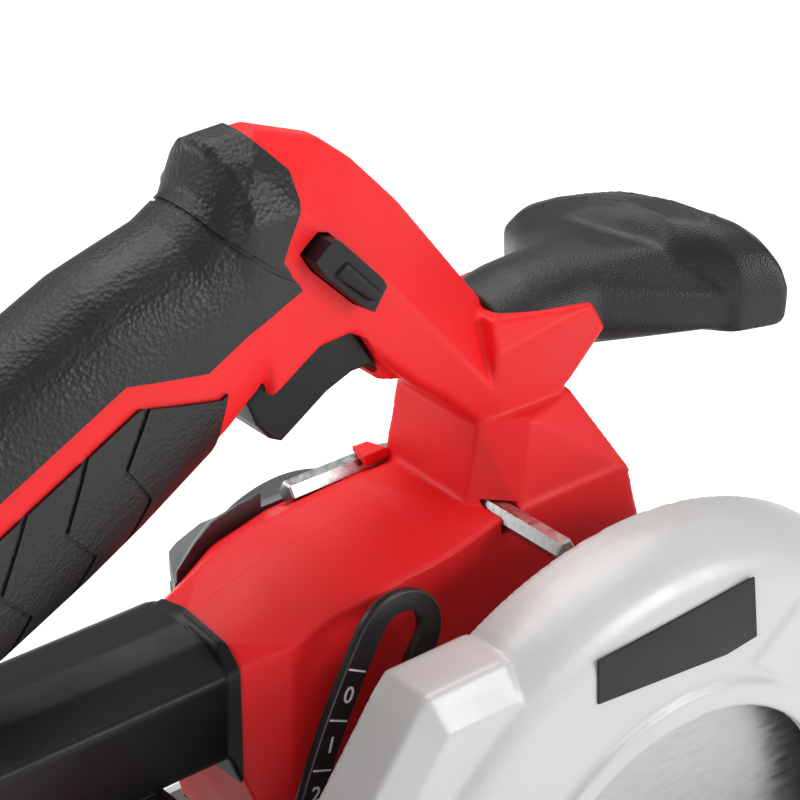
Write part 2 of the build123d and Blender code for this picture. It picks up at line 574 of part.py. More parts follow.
DUCT_TOP = 108.6
SPIGOT = (-55.4, 66.0)
SPIGOT_RADIUS = 9.0
SPIGOT_BORE = 7.4
SPIGOT_SEAT = -84.0
HUB_BOSS_RADIUS = 15.0
with BuildPart() as upper_guard:
    guard_form(GUARD_RADIUS, GUARD_LEFT, GUARD_RIGHT, SHOULDER)
    duct = [(-47, DUCT_TOP), (-68, DUCT_TOP), (-73, 103), (-90, 80), (-90, 40), (-40, 40)]
    slab(duct, GUARD_LEFT, GUARD_RIGHT + 4)
    room_radius = GUARD_RADIUS - GUARD_WALL
    guard_form(room_radius, GUARD_LEFT - WALL, GUARD_RIGHT + GUARD_WALL, ROOM_SHOULDER, Mode.SUBTRACT)
    disc(SPINDLE, HUB_OPENING_RADIUS, GUARD_RIGHT + GUARD_WALL + 1, GUARD_RIGHT - 1, Mode.SUBTRACT)
    disc(SPINDLE, HUB_BOSS_RADIUS - 4, GUARD_LEFT + 1, GUARD_LEFT - WALL - 1, Mode.SUBTRACT)
    block((-120, -90, -80), (120, 0, GUARD_FLOOR), Mode.SUBTRACT)
    hull_plate([(PIVOT, 8), ((70, 40), 14)], GUARD_LEFT, GUARD_LEFT - WALL)
    disc(SPINDLE, HUB_BOSS_RADIUS, GUARD_LEFT, GUARD_LEFT - WALL)
    disc(SPINDLE, HUB_BOSS_RADIUS - 4, GUARD_LEFT + 1, GUARD_LEFT - WALL - 1, Mode.SUBTRACT)
    disc(PIVOT, PIVOT_RADIUS + RUNNING_GAP, GUARD_LEFT + 1, GUARD_LEFT - WALL - 1, Mode.SUBTRACT)
    rod(SPIGOT, SPIGOT_BORE, -110, -74, Mode.SUBTRACT)
    rod(SPIGOT, SPIGOT_RADIUS, -110, SPIGOT_SEAT, Mode.SUBTRACT)
save(upper_guard.part, "upper_guard")

LABEL = [(-27.1, 93.6), (-27.6, 104.8), (19.4, 107.4), (21.4, 91.0), (12, 90)]
with BuildPart() as guard_label:
    slab(LABEL, GUARD_RIGHT, GUARD_RIGHT - 0.6)
save(guard_label.part, "guard_label")

with BuildPart() as dust_spigot:
    rod(SPIGOT, SPIGOT_RADIUS, -112, SPIGOT_SEAT)
    rod(SPIGOT, SPIGOT_BORE, -113, SPIGOT_SEAT + 1, Mode.SUBTRACT)
save(dust_spigot.part, "dust_spigot")

# ---------------------------------------------------------------- lower guard
LOWER_OUT = GUARD_RADIUS - GUARD_WALL - LOWER_GUARD_GAP
LOWER_LEFT = BLADE_Y + 5.6
LOWER_RIGHT = BLADE_Y - 5.2
COLLAR_RIGHT = LOWER_LEFT - LOWER_GUARD_WALL
with BuildPart() as lower_guard:
    disc(SPINDLE, LOWER_OUT, LOWER_LEFT, LOWER_RIGHT)
    chamfer(lower_guard.faces().sort_by(Axis.Y)[0].outer_wire().edges(), length=1.2)
    inner = LOWER_OUT - LOWER_GUARD_WALL
    disc(SPINDLE, inner, COLLAR_RIGHT, LOWER_RIGHT + LOWER_GUARD_WALL, Mode.SUBTRACT)
    disc(SPINDLE, 58, COLLAR_RIGHT - 1, LOWER_RIGHT - 1, Mode.SUBTRACT)
    sky = [(-120, 36), (120, 36), (120, 160), (-120, 160)]
    slab(sky, LOWER_LEFT + 1, LOWER_RIGHT - 1, Mode.SUBTRACT)
    disc(SPINDLE, 25, LOWER_LEFT, COLLAR_RIGHT)
    disc(SPINDLE, HUB_BOSS_RADIUS + 1 + RUNNING_GAP, LOWER_LEFT + 1, COLLAR_RIGHT - 1, Mode.SUBTRACT)
save(lower_guard.part, "lower_guard")

with BuildPart() as guard_hub:
    disc(SPINDLE, HUB_BOSS_RADIUS + 1, GUARD_LEFT - WALL, COLLAR_RIGHT - 0.3)
    disc(SPINDLE, HUB_BOSS_RADIUS + 4, COLLAR_RIGHT - 0.3, COLLAR_RIGHT - 1.0)
    disc(SPINDLE, SPINDLE_RADIUS + 1, GUARD_LEFT, COLLAR_RIGHT - 2, Mode.SUBTRACT)
save(guard_hub.part, "guard_hub")

# ---------------------------------------------------------------- blade set
FLANGE_LEFT = COLLAR_RIGHT - 1.4
with BuildPart() as spindle_shaft:
    disc(SPINDLE, SPINDLE_RADIUS, BODY_RIGHT + 7, BLADE_RIGHT)
    hex_hole = BLADE_RIGHT - 1
    disc(SPINDLE, 2.5, BLADE_LEFT + 12, hex_hole, Mode.SUBTRACT)
save(spindle_shaft.part, "spindle_shaft")

with BuildPart() as spindle_gear:
    gear(SPINDLE, SPINDLE_GEAR_TEETH, SECOND_MODULE, GEAR_CASE_LEFT - 6.5, GEAR_ROOM_RIGHT + 1, 0)
    disc(SPINDLE, SPINDLE_RADIUS, GEAR_CASE_LEFT, GEAR_ROOM_RIGHT - 1, Mode.SUBTRACT)
save(spindle_gear.part, "spindle_gear")

with BuildPart() as inner_flange:
    disc(SPINDLE, 18, FLANGE_LEFT, BLADE_LEFT)
    disc(SPINDLE, BLADE_BORE_RADIUS, BLADE_LEFT, BLADE_RIGHT)
    disc(SPINDLE, SPINDLE_RADIUS, FLANGE_LEFT + 1, BLADE_RIGHT - 1, Mode.SUBTRACT)
save(inner_flange.part, "inner_flange")

BLADE_ROOT = BLADE_RADIUS - 8
with BuildPart() as saw_blade:
    with BuildSketch(side_plane(BLADE_LEFT)) as blade_outline:
        with BuildLine():
            step = 360 / BLADE_TEETH
            teeth = []
            for tooth in range(BLADE_TEETH):
                start = tooth * step
                teeth.append(polar(SPINDLE, BLADE_RADIUS, start))
                teeth.append(polar(SPINDLE, BLADE_ROOT, start + 0.12 * step))
                teeth.append(polar(SPINDLE, BLADE_ROOT - 1, start + 0.35 * step))
                teeth.append(polar(SPINDLE, BLADE_RADIUS - 2.5, start + 0.6 * step))
            Polyline(*teeth, close=True)
        make_face()
    extrude(blade_outline.sketch, amount=BLADE_THICKNESS)
    disc(SPINDLE, BLADE_BORE_RADIUS, BLADE_LEFT + 1, BLADE_RIGHT - 1, Mode.SUBTRACT)
    for slit in range(4):
        slit_angle = 20 + 90 * slit
        with BuildSketch(side_plane(BLADE_LEFT + 1)) as slit_outline:
            with Locations(polar(SPINDLE, BLADE_ROOT - 12, slit_angle)):
                SlotOverall(14, 1.6, rotation=slit_angle)
        extrude(slit_outline.sketch, amount=BLADE_THICKNESS + 2, mode=Mode.SUBTRACT)
save(saw_blade.part, "saw_blade")

with BuildPart() as outer_flange:
    disc(SPINDLE, 18, BLADE_RIGHT, BLADE_RIGHT - 3.5)
    disc(SPINDLE, 3, BLADE_RIGHT + 1, BLADE_RIGHT - 5, Mode.SUBTRACT)
    chamfer(outer_flange.faces().sort_by(Axis.Y)[0].outer_wire().edges(), length=1.5)
save(outer_flange.part, "outer_flange")

with BuildPart() as blade_bolt:
    disc(SPINDLE, 7.5, BLADE_RIGHT - 3.5, BLADE_RIGHT - 9)
    disc(SPINDLE, 3, BLADE_RIGHT, BLADE_RIGHT - 3.5)
    disc(SPINDLE, 2.5, BLADE_RIGHT + 10, BLADE_RIGHT)
    with BuildSketch(side_plane(BLADE_RIGHT - 5)) as socket:
        with Locations(SPINDLE):
            RegularPolygon(KEY_FLATS / 2 + 0.1, 6, major_radius=False)
    extrude(socket.sketch, amount=6, mode=Mode.SUBTRACT)
save(blade_bolt.part, "blade_bolt")

# ---------------------------------------------------------------- gear train
LOCK_AXIS = (-35.0, 20.0)
LOCK_RADIUS = 3.0
with BuildPart() as gear_housing:
    case_room = [(SPINDLE, 22.5), (LAY_AXIS, 18), (MOTOR_AXIS, 14)]
    case_outline = [(centre, radius + 1.8) for centre, radius in case_room]
    hull_plate(case_outline, GEAR_CASE_LEFT, GUARD_LEFT)
    hull_plate(case_room, GEAR_CASE_LEFT + 1, GEAR_ROOM_RIGHT, Mode.SUBTRACT)
    disc(SPINDLE, HUB_BOSS_RADIUS - 4, GEAR_CASE_LEFT, GUARD_LEFT - 1, Mode.SUBTRACT)
    rod(LOCK_AXIS, LOCK_RADIUS + RUNNING_GAP, 15, 40, Mode.SUBTRACT)
save(gear_housing.part, "gear_housing")

with BuildPart() as gear_cover:
    hull_plate(case_outline, BODY_RIGHT, GEAR_CASE_LEFT)
    disc(MOTOR_AXIS, 9, BODY_RIGHT + 1, GEAR_CASE_LEFT - 1, Mode.SUBTRACT)
    disc(SPINDLE, 11, BODY_RIGHT + 1, GEAR_CASE_LEFT - 1, Mode.SUBTRACT)
    disc(LAY_AXIS, LAY_RADIUS + RUNNING_GAP, BODY_RIGHT + 1, GEAR_CASE_LEFT - 1, Mode.SUBTRACT)
save(gear_cover.part, "gear_cover")

with BuildPart() as spindle_bearings:
    disc(SPINDLE, HUB_BOSS_RADIUS - 4, GEAR_ROOM_RIGHT, GUARD_LEFT)
    disc(SPINDLE, 11, BODY_RIGHT + 6, GEAR_CASE_LEFT)
    disc(SPINDLE, SPINDLE_RADIUS + RUNNING_GAP, BODY_RIGHT + 7, GUARD_LEFT - 1, Mode.SUBTRACT)
save(spindle_bearings.part, "spindle_bearings")

LAY_BIG_LEFT = GEAR_CASE_LEFT - 0.6
LAY_BIG_RIGHT = GEAR_CASE_LEFT - 5.4
first_mesh = angle_between(MOTOR_AXIS, LAY_AXIS)
second_mesh = angle_between(LAY_AXIS, SPINDLE)
spindle_pitch = 360 / SPINDLE_GEAR_TEETH
lay_small_pitch = 360 / SECOND_PINION_TEETH
spindle_phase_at_mesh = (second_mesh + 180) % spindle_pitch
second_ratio = SPINDLE_GEAR_TEETH / SECOND_PINION_TEETH
small_phase = second_mesh + lay_small_pitch / 2 + spindle_phase_at_mesh * second_ratio
with BuildPart() as lay_gears:
    gear(LAY_AXIS, FIRST_GEAR_TEETH, FIRST_MODULE, LAY_BIG_LEFT, LAY_BIG_RIGHT, first_mesh + 180)
    gear(
        LAY_AXIS, SECOND_PINION_TEETH, SECOND_MODULE, LAY_BIG_RIGHT, GEAR_ROOM_RIGHT + 1, small_phase
    )
    disc(LAY_AXIS, LAY_RADIUS + RUNNING_GAP, BODY_RIGHT, GEAR_ROOM_RIGHT, Mode.SUBTRACT)
save(lay_gears.part, "lay_gears")

with BuildPart() as layshaft:
    disc(LAY_AXIS, LAY_RADIUS, BODY_RIGHT + 2, GEAR_ROOM_RIGHT + 0.3)
save(layshaft.part, "layshaft")

# ---------------------------------------------------------------- motor
MOTOR_RIGHT = BODY_RIGHT + WALL + 9
MOTOR_LEFT = MOTOR_RIGHT + MOTOR_LENGTH
COMMUTATOR_LEFT = MOTOR_LEFT + 14
CAP_LEFT = COMMUTATOR_LEFT + 14
FAN_LEFT = MOTOR_RIGHT - 1.2
with BuildPart() as rotor_shaft:
    disc(MOTOR_AXIS, ROTOR_SHAFT_RADIUS, COMMUTATOR_LEFT + 6.8, LAY_BIG_LEFT)
    gear(
        MOTOR_AXIS, PINION_TEETH, FIRST_MODULE, LAY_BIG_LEFT, LAY_BIG_RIGHT,
        first_mesh + 180 / PINION_TEETH,
    )
save(rotor_shaft.part, "rotor_shaft")

with BuildPart() as armature:
    disc(MOTOR_AXIS, ARMATURE_RADIUS, MOTOR_LEFT - 4, MOTOR_RIGHT + 4)
    disc(MOTOR_AXIS, ROTOR_SHAFT_RADIUS, MOTOR_LEFT, MOTOR_RIGHT, Mode.SUBTRACT)
    with BuildSketch(side_plane(MOTOR_LEFT - 3)) as slots:
        with Locations(MOTOR_AXIS):
            with PolarLocations(ARMATURE_RADIUS - 3, 10):
                SlotOverall(7, 2.2)
    extrude(slots.sketch, amount=MOTOR_LENGTH, mode=Mode.SUBTRACT)
save(armature.part, "armature")

with BuildPart() as commutator:
    disc(MOTOR_AXIS, 10, COMMUTATOR_LEFT, COMMUTATOR_LEFT - 12)
    disc(MOTOR_AXIS, ROTOR_SHAFT_RADIUS, COMMUTATOR_LEFT + 1, COMMUTATOR_LEFT - 13, Mode.SUBTRACT)
save(commutator.part, "commutator")

with BuildPart() as cooling_fan:
    disc(MOTOR_AXIS, 26, FAN_LEFT, FAN_LEFT - 1.4)
    with BuildSketch(side_plane(FAN_LEFT - 1.4)) as blades:
        with Locations(MOTOR_AXIS):
            with PolarLocations(18, 12):
                Rectangle(14, 1.4, rotation=25)
            Circle(8)
    extrude(blades.sketch, amount=4)
    disc(MOTOR_AXIS, ROTOR_SHAFT_RADIUS, FAN_LEFT + 1, FAN_LEFT - 7, Mode.SUBTRACT)
save(cooling_fan.part, "cooling_fan")

with BuildPart() as motor_can:
    disc(MOTOR_AXIS, MOTOR_RADIUS, MOTOR_LEFT, MOTOR_RIGHT)
    disc(MOTOR_AXIS, MOTOR_RADIUS - 2, MOTOR_LEFT + 1, MOTOR_RIGHT - 1, Mode.SUBTRACT)
save(motor_can.part, "motor_can")

with BuildPart() as field_magnets:
    disc(MOTOR_AXIS, MOTOR_RADIUS - 2, MOTOR_LEFT - 4, MOTOR_RIGHT + 4)
    disc(MOTOR_AXIS, ARMATURE_RADIUS + 1, MOTOR_LEFT, MOTOR_RIGHT, Mode.SUBTRACT)
    block((-80, -80, MOTOR_AXIS[1] - 5), (80, 80, MOTOR_AXIS[1] + 5), Mode.SUBTRACT)
save(field_magnets.part, "field_magnets")

with BuildPart() as brush_plate:
    disc(MOTOR_AXIS, MOTOR_RADIUS, MOTOR_LEFT + 3, MOTOR_LEFT)
    disc(MOTOR_AXIS, 12, MOTOR_LEFT + 4, MOTOR_LEFT - 1, Mode.SUBTRACT)
    for side in (-1, 1):
        near = MOTOR_AXIS[0] + side * 14
        far = MOTOR_AXIS[0] + side * 26
        low = (min(near, far), MOTOR_LEFT + 3, MOTOR_AXIS[1] - 4.5)
        block(low, (max(near, far), COMMUTATOR_LEFT, MOTOR_AXIS[1] + 4.5))
        hole = (min(near, far) - 1, MOTOR_LEFT + 4.5, MOTOR_AXIS[1] - 3)
        block(hole, (max(near, far) + 1, COMMUTATOR_LEFT - 1.5, MOTOR_AXIS[1] + 3), Mode.SUBTRACT)
save(brush_plate.part, "brush_plate")

with BuildPart() as carbon_brushes:
    for side in (-1, 1):
        near = MOTOR_AXIS[0] + side * 10.3
        far = MOTOR_AXIS[0] + side * 22
        low = (min(near, far), MOTOR_LEFT + 4.6, MOTOR_AXIS[1] - 2.9)
        block(low, (max(near, far), COMMUTATOR_LEFT - 1.6, MOTOR_AXIS[1] + 2.9))
save(carbon_brushes.part, "carbon_brushes")

with BuildPart() as rotor_bearings:
    disc(MOTOR_AXIS, 9, COMMUTATOR_LEFT + 7, COMMUTATOR_LEFT + 1)
    disc(MOTOR_AXIS, 9, BODY_RIGHT + 4, GEAR_CASE_LEFT)
    disc(MOTOR_AXIS, ROTOR_SHAFT_RADIUS + RUNNING_GAP, CAP_LEFT, GEAR_CASE_LEFT - 1, Mode.SUBTRACT)
save(rotor_bearings.part, "rotor_bearings")

CAP_ROOM = MOTOR_RADIUS + 2
CAP_RIM = [(-75.5, 43), (-75.5, 101), (-66, 108), (-55, 112), (20, 112), (28, 90)]
CAP_RIM += [(30, 44), (14, 31), (-62, 31)]
CAP_CORE = [(-70, 48), (-70, 97), (-58, 104), (14, 105), (22, 88), (24, 50), (10, 37), (-57, 37)]
with BuildPart() as motor_cap:
    with BuildSketch(side_plane(BODY_LEFT)) as rim:
        with BuildLine():
            Polyline(*CAP_RIM, close=True)
        make_face()
    extrude(rim.sketch, amount=-22, taper=32)
    disc(MOTOR_AXIS, CAP_ROOM + 3, CAP_LEFT, BODY_LEFT)
    slab(CAP_CORE, BODY_LEFT + 5, BODY_LEFT - 1, Mode.SUBTRACT)
    disc(MOTOR_AXIS, CAP_ROOM, CAP_LEFT - WALL, BODY_LEFT - 1, Mode.SUBTRACT)
    disc(MOTOR_AXIS, 12, CAP_LEFT - WALL, COMMUTATOR_LEFT + 1)
    disc(MOTOR_AXIS, 9, COMMUTATOR_LEFT + 7, COMMUTATOR_LEFT, Mode.SUBTRACT)
    for row in range(5):
        vent_z = MOTOR_AXIS[1] - 20 + 10 * row
        block((-90, BODY_LEFT + 6, vent_z), (-54, BODY_LEFT + 26, vent_z + 3.5), Mode.SUBTRACT)
save(motor_cap.part, "motor_cap")

# ---------------------------------------------------------------- controls
with BuildPart() as trigger:
    slab(TRIGGER, TRIGGER_HALF_WIDTH, -TRIGGER_HALF_WIDTH)
save(trigger.part, "trigger")

with BuildPart() as switch_module:
    slab([(-79, 190), (-68, 190), (-68, 204), (-79, 204)], 5, -5)
    slab([(-110, 166), (-92, 174), (-92, 186), (-112, 178)], 9, -9)
save(switch_module.part, "switch_module")

with BuildPart() as trigger_spring:
    slab([(-67.2, 178.2), (-62.8, 180.6), (-66, 186.8), (-70.4, 184.4)], 3, -3)
save(trigger_spring.part, "trigger_spring")

with BuildPart() as lock_off_button:
    slab(BUTTON, HANDLE_HALF_WIDTH + 4.5, 12)
    slab(BUTTON, -12, -HANDLE_HALF_WIDTH - 4.5)
    slab([(-61, 187.5), (-55.5, 187.5), (-55.5, 192), (-61, 192)], 12, -12)
save(lock_off_button.part, "lock_off_button")

with BuildPart() as spindle_lock:
    rod(LOCK_AXIS, LOCK_RADIUS, 22.2, 31)
    rod(LOCK_AXIS, 6.5, 31, 38)
    fillet(spindle_lock.edges().sort_by(Axis.X)[-1], radius=2)
save(spindle_lock.part, "spindle_lock")

# ---------------------------------------------------------------- hex key
with BuildPart() as hex_key:
    key_start = (KEY_BEND[0], KEY_RIGHT_END, KEY_BEND[1])
    key_plane = Plane(origin=key_start, x_dir=(1, 0, 0), z_dir=(0, 1, 0))
    with BuildSketch(key_plane) as long_section:
        RegularPolygon(KEY_FLATS / 2, 6, major_radius=False)
    extrude(long_section.sketch, amount=KEY_LEFT_END - KEY_RIGHT_END)
    key_elbow = (KEY_BEND[0] + 2, KEY_LEFT_END, KEY_BEND[1])
    short_plane = Plane(origin=key_elbow, x_dir=(0, 1, 0), z_dir=(-1, 0, 0))
    with BuildSketch(short_plane) as short_section:
        RegularPolygon(KEY_FLATS / 2, 6, major_radius=False, rotation=30)
    extrude(short_section.sketch, amount=KEY_SHORT_ARM)
save(hex_key.part, "hex_key")

# ---------------------------------------------------------------- electrics
with BuildPart() as control_board:
    block((-168, -9, 86), (-112, -7.4, 100))
    block((-160, -7.4, 88), (-140, 0, 98))
    block((-134, -7.4, 88), (-120, -3, 98))
save(control_board.part, "control_board")

with BuildPart() as terminal_block:
    block((-126, -10, BATTERY_TOP + 0.5), (-108, 10, 69.7))
    for blade_y in (-8, -3, 3, 8):
        block((-124, blade_y - 0.4, BATTERY_TOP - 3.5), (-110, blade_y + 0.4, BATTERY_TOP + 0.5))
save(terminal_block.part, "terminal_block")

# ---------------------------------------------------------------- battery
HALF = BATTERY_WIDTH / 2
BATTERY_FLOOR = BATTERY_TOP - BATTERY_HEIGHT
SPLIT = BATTERY_FLOOR + 34
with BuildPart() as battery_tray:
    block((BATTERY_REAR, -HALF, BATTERY_FLOOR), (BATTERY_FRONT, HALF, SPLIT))
    fillet(battery_tray.edges().filter_by(Axis.Z), radius=8)
    tray_in = BATTERY_REAR + WALL
    tray_low = (tray_in, -HALF + WALL, BATTERY_FLOOR + WALL)
    block(tray_low, (BATTERY_FRONT - WALL, HALF - WALL, SPLIT + 1), Mode.SUBTRACT)
save(battery_tray.part, "battery_tray")

with BuildPart() as battery_lid:
    block((BATTERY_REAR, -HALF, SPLIT), (BATTERY_FRONT, HALF, BATTERY_TOP - 6))
    fillet(battery_lid.edges().filter_by(Axis.Z), radius=8)
    lid_high = (BATTERY_FRONT - WALL, HALF - WALL, BATTERY_TOP - 6 - WALL)
    block((tray_in, -HALF + WALL, SPLIT - 1), lid_high, Mode.SUBTRACT)
    top_half = HALF - 19.5
    block((BATTERY_REAR + 10, -top_half, BATTERY_TOP - 6), (BATTERY_FRONT - 3, top_half, BATTERY_TOP))
    for blade_y in (-8, -3, 3, 8):
        slot_low = (-125, blade_y - 1, BATTERY_TOP - 4)
        block(slot_low, (BATTERY_FRONT + 1, blade_y + 1, BATTERY_TOP + 1), Mode.SUBTRACT)
save(battery_lid.part, "battery_lid")

with BuildPart() as battery_cells:
    for cell_z in (BATTERY_FLOOR + WALL + 9.6, BATTERY_FLOOR + WALL + 28.4):
        for column in range(5):
            disc((BATTERY_REAR + 14 + 19.4 * column, cell_z), 9.2, 32.5, -32.5)
save(battery_cells.part, "battery_cells")

with BuildPart() as battery_latch:
    block((BATTERY_REAR - 3.5, -14, SPLIT - 8), (BATTERY_REAR - 0.3, 14, SPLIT + 8))
save(battery_latch.part, "battery_latch")

# ---------------------------------------------------------------- fasteners
HOUSING_SCREWS = [(-92, 190), (-140, 168), (-200, 128), (-196, 92), (-93, 94), (-37, 167)]
HOUSING_SCREWS += [(2, 128)]
with BuildPart() as housing_screws:
    for place in HOUSING_SCREWS:
        disc(place, SCREW_RADIUS, HANDLE_HALF_WIDTH - WALL - 0.5, -HANDLE_HALF_WIDTH + WALL + 0.5)
save(housing_screws.part, "housing_screws")

with BuildPart() as guard_screws:
    for angle in (20, 200, 300):
        disc(polar(SPINDLE, 20.6, angle), SCREW_HEAD_RADIUS, GUARD_LEFT - WALL, GUARD_LEFT - WALL - 1.6)
save(guard_screws.part, "guard_screws")
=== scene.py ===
import json
import math

import bmesh
import bpy
from mathutils import Matrix, Vector


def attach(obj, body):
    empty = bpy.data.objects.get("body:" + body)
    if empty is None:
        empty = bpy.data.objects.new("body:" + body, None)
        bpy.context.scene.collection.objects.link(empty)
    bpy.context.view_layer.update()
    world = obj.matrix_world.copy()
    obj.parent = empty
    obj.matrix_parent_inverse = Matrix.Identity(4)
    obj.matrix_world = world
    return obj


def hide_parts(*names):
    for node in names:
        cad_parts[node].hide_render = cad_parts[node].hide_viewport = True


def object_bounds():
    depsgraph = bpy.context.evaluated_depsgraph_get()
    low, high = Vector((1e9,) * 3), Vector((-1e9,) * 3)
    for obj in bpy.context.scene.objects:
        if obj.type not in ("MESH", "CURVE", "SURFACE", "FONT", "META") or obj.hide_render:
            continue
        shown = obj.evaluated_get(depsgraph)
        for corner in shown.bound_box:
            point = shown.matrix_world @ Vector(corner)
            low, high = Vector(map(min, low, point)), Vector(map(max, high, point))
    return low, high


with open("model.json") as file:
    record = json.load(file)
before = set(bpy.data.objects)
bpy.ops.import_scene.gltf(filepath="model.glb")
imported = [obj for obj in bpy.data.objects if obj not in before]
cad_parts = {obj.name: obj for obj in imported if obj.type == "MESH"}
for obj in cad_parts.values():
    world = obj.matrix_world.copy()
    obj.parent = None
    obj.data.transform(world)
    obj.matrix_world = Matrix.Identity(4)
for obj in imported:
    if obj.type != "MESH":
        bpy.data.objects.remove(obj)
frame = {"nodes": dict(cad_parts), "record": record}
cad_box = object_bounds()
MM = 0.001


# ------------------------------------------------------------------ materials
class Finish:
    """A material under construction: small helpers round its node tree."""

    def __init__(self, name, color, rough, metallic=0.0, coat=0.0, specular=0.5):
        self.material = bpy.data.materials.new(name)
        self.material.use_nodes = True
        self.nodes = self.material.node_tree.nodes
        self.links = self.material.node_tree.links
        self.shader = self.nodes["Principled BSDF"]
        self.shader.inputs["Base Color"].default_value = (*color, 1)
        self.shader.inputs["Roughness"].default_value = rough
        self.shader.inputs["Metallic"].default_value = metallic
        self.shader.inputs["Coat Weight"].default_value = coat
        self.shader.inputs["Coat Roughness"].default_value = 0.25
        self.shader.inputs["Specular IOR Level"].default_value = specular
        self.place = self.nodes.new("ShaderNodeTexCoord").outputs["Object"]

    def noise(self, scale, detail=4.0, stretch=None):
        """Noise in object space; scale is in cells per metre."""
        source = self.place
        if stretch:
            mapping = self.nodes.new("ShaderNodeMapping")
            mapping.inputs["Scale"].default_value = stretch
            self.links.new(source, mapping.inputs["Vector"])
            source = mapping.outputs["Vector"]
        node = self.nodes.new("ShaderNodeTexNoise")
        node.inputs["Scale"].default_value = scale
        node.inputs["Detail"].default_value = detail
        self.links.new(source, node.inputs["Vector"])
        return node.outputs["Fac"]

    def cells(self, scale):
        """Rounded pebble pattern, 0 at the middle of each pebble."""
        node = self.nodes.new("ShaderNodeTexVoronoi")
        node.inputs["Scale"].default_value = scale
        self.links.new(self.place, node.inputs["Vector"])
        return node.outputs["Distance"]

    def ramp(self, value, stops):
        """Colour ramp over a value; stops are (position, rgb)."""
        node = self.nodes.new("ShaderNodeValToRGB")
        node.color_ramp.elements[0].position = stops[0][0]
        node.color_ramp.elements[0].color = (*stops[0][1], 1)
        node.color_ramp.elements[1].position = stops[-1][0]
        node.color_ramp.elements[1].color = (*stops[-1][1], 1)
        for position, color in stops[1:-1]:
            node.color_ramp.elements.new(position).color = (*color, 1)
        self.links.new(value, node.inputs["Fac"])
        return node.outputs["Color"]

    def span(self, value, low, high, start=0.0, end=1.0):
        """Value remapped so that start..end becomes low..high."""
        node = self.nodes.new("ShaderNodeMapRange")
        for key, number in (("From Min", start), ("From Max", end), ("To Min", low), ("To Max", high)):
            node.inputs[key].default_value = number
        self.links.new(value, node.inputs["Value"])
        return node.outputs["Result"]

    def edge_wear(self, start=0.52, end=0.62):
        """1 on sharp outer edges, 0 elsewhere."""
        geometry = self.nodes.new("ShaderNodeNewGeometry")
        return self.span(geometry.outputs["Pointiness"], 0.0, 1.0, start, end)

    def mix(self, share, first, second):
        """Blend of two colours or sockets by a share."""
        node = self.nodes.new("ShaderNodeMix")
        node.data_type = "RGBA"
        self.links.new(share, node.inputs["Factor"])
        for key, value in (("A", first), ("B", second)):
            socket = [s for s in node.inputs if s.name == key and s.type == "RGBA"][0]
            if isinstance(value, tuple):
                socket.default_value = (*value, 1)
            else:
                self.links.new(value, socket)
        return [s for s in node.outputs if s.type == "RGBA"][0]

    def bump(self, value, distance, strength=1.0):
        """Add one layer of relief, distance in metres."""
        node = self.nodes.new("ShaderNodeBump")
        node.inputs["Distance"].default_value = distance
        node.inputs["Strength"].default_value = strength
        self.links.new(value, node.inputs["Height"])
        normal = self.shader.inputs["Normal"]
        if normal.is_linked:
            self.links.new(normal.links[0].from_socket, node.inputs["Normal"])
        self.links.new(node.outputs["Normal"], normal)

    def feed(self, key, value):
        self.links.new(value, self.shader.inputs[key])


def moulded(name, light, dark, rough, grain, depth, worn, coat=0.0):
    """Injection-moulded plastic: fine spark-eroded grain, soft colour drift, worn edges."""
    finish = Finish(name, light, rough, coat=coat, specular=0.28)
    drift = finish.ramp(finish.noise(9, 3), [(0.35, dark), (0.65, light)])
    finish.feed("Base Color", finish.mix(finish.edge_wear(0.54, 0.68), drift, worn))
    finish.feed("Roughness", finish.span(finish.noise(60, 5), rough - 0.05, rough + 0.07, 0.3, 0.7))
    finish.bump(finish.noise(grain, 2), depth, 0.35)
    return finish.material


def leathered(name, light, dark, rough, pebble, depth, worn):
    """Soft-touch rubber with a raised leather-like pebble grain."""
    finish = Finish(name, light, rough, specular=0.45)
    drift = finish.ramp(finish.noise(14, 4), [(0.35, dark), (0.68, light)])
    finish.feed("Base Color", finish.mix(finish.edge_wear(0.55, 0.72), drift, worn))
    finish.feed("Roughness", finish.span(finish.noise(90, 4), rough - 0.06, rough + 0.08, 0.3, 0.7))
    finish.bump(finish.cells(pebble), depth, 0.75)
    finish.bump(finish.noise(pebble * 0.8, 3), depth * 0.7, 0.5)
    return finish.material


def painted(name, light, dark, rough, worn, texture=420, depth=0.00006, metallic=0.0):
    """Powder-coated metal: orange-peel relief, dust tone and rubbed edges."""
    finish = Finish(name, light, rough, metallic=metallic, coat=0.12)
    drift = finish.ramp(finish.noise(16, 5), [(0.3, dark), (0.7, light)])
    finish.feed("Base Color", finish.mix(finish.edge_wear(0.55, 0.7), drift, worn))
    finish.feed("Roughness", finish.span(finish.noise(120, 5), rough - 0.06, rough + 0.08, 0.3, 0.7))
    finish.bump(finish.noise(texture, 3), depth, 0.5)
    return finish.material


def metal(name, light, dark, rough, brush=(1, 1, 1), depth=0.00003, scale=700):
    """Bare or plated metal with directional polish marks."""
    finish = Finish(name, light, rough, metallic=1.0)
    marks = finish.noise(scale, 4, brush)
    finish.feed("Base Color", finish.ramp(marks, [(0.25, dark), (0.75, light)]))
    finish.feed("Roughness", finish.span(marks, rough - 0.08, rough + 0.12, 0.25, 0.75))
    finish.bump(marks, depth, 0.5)
    return finish.material


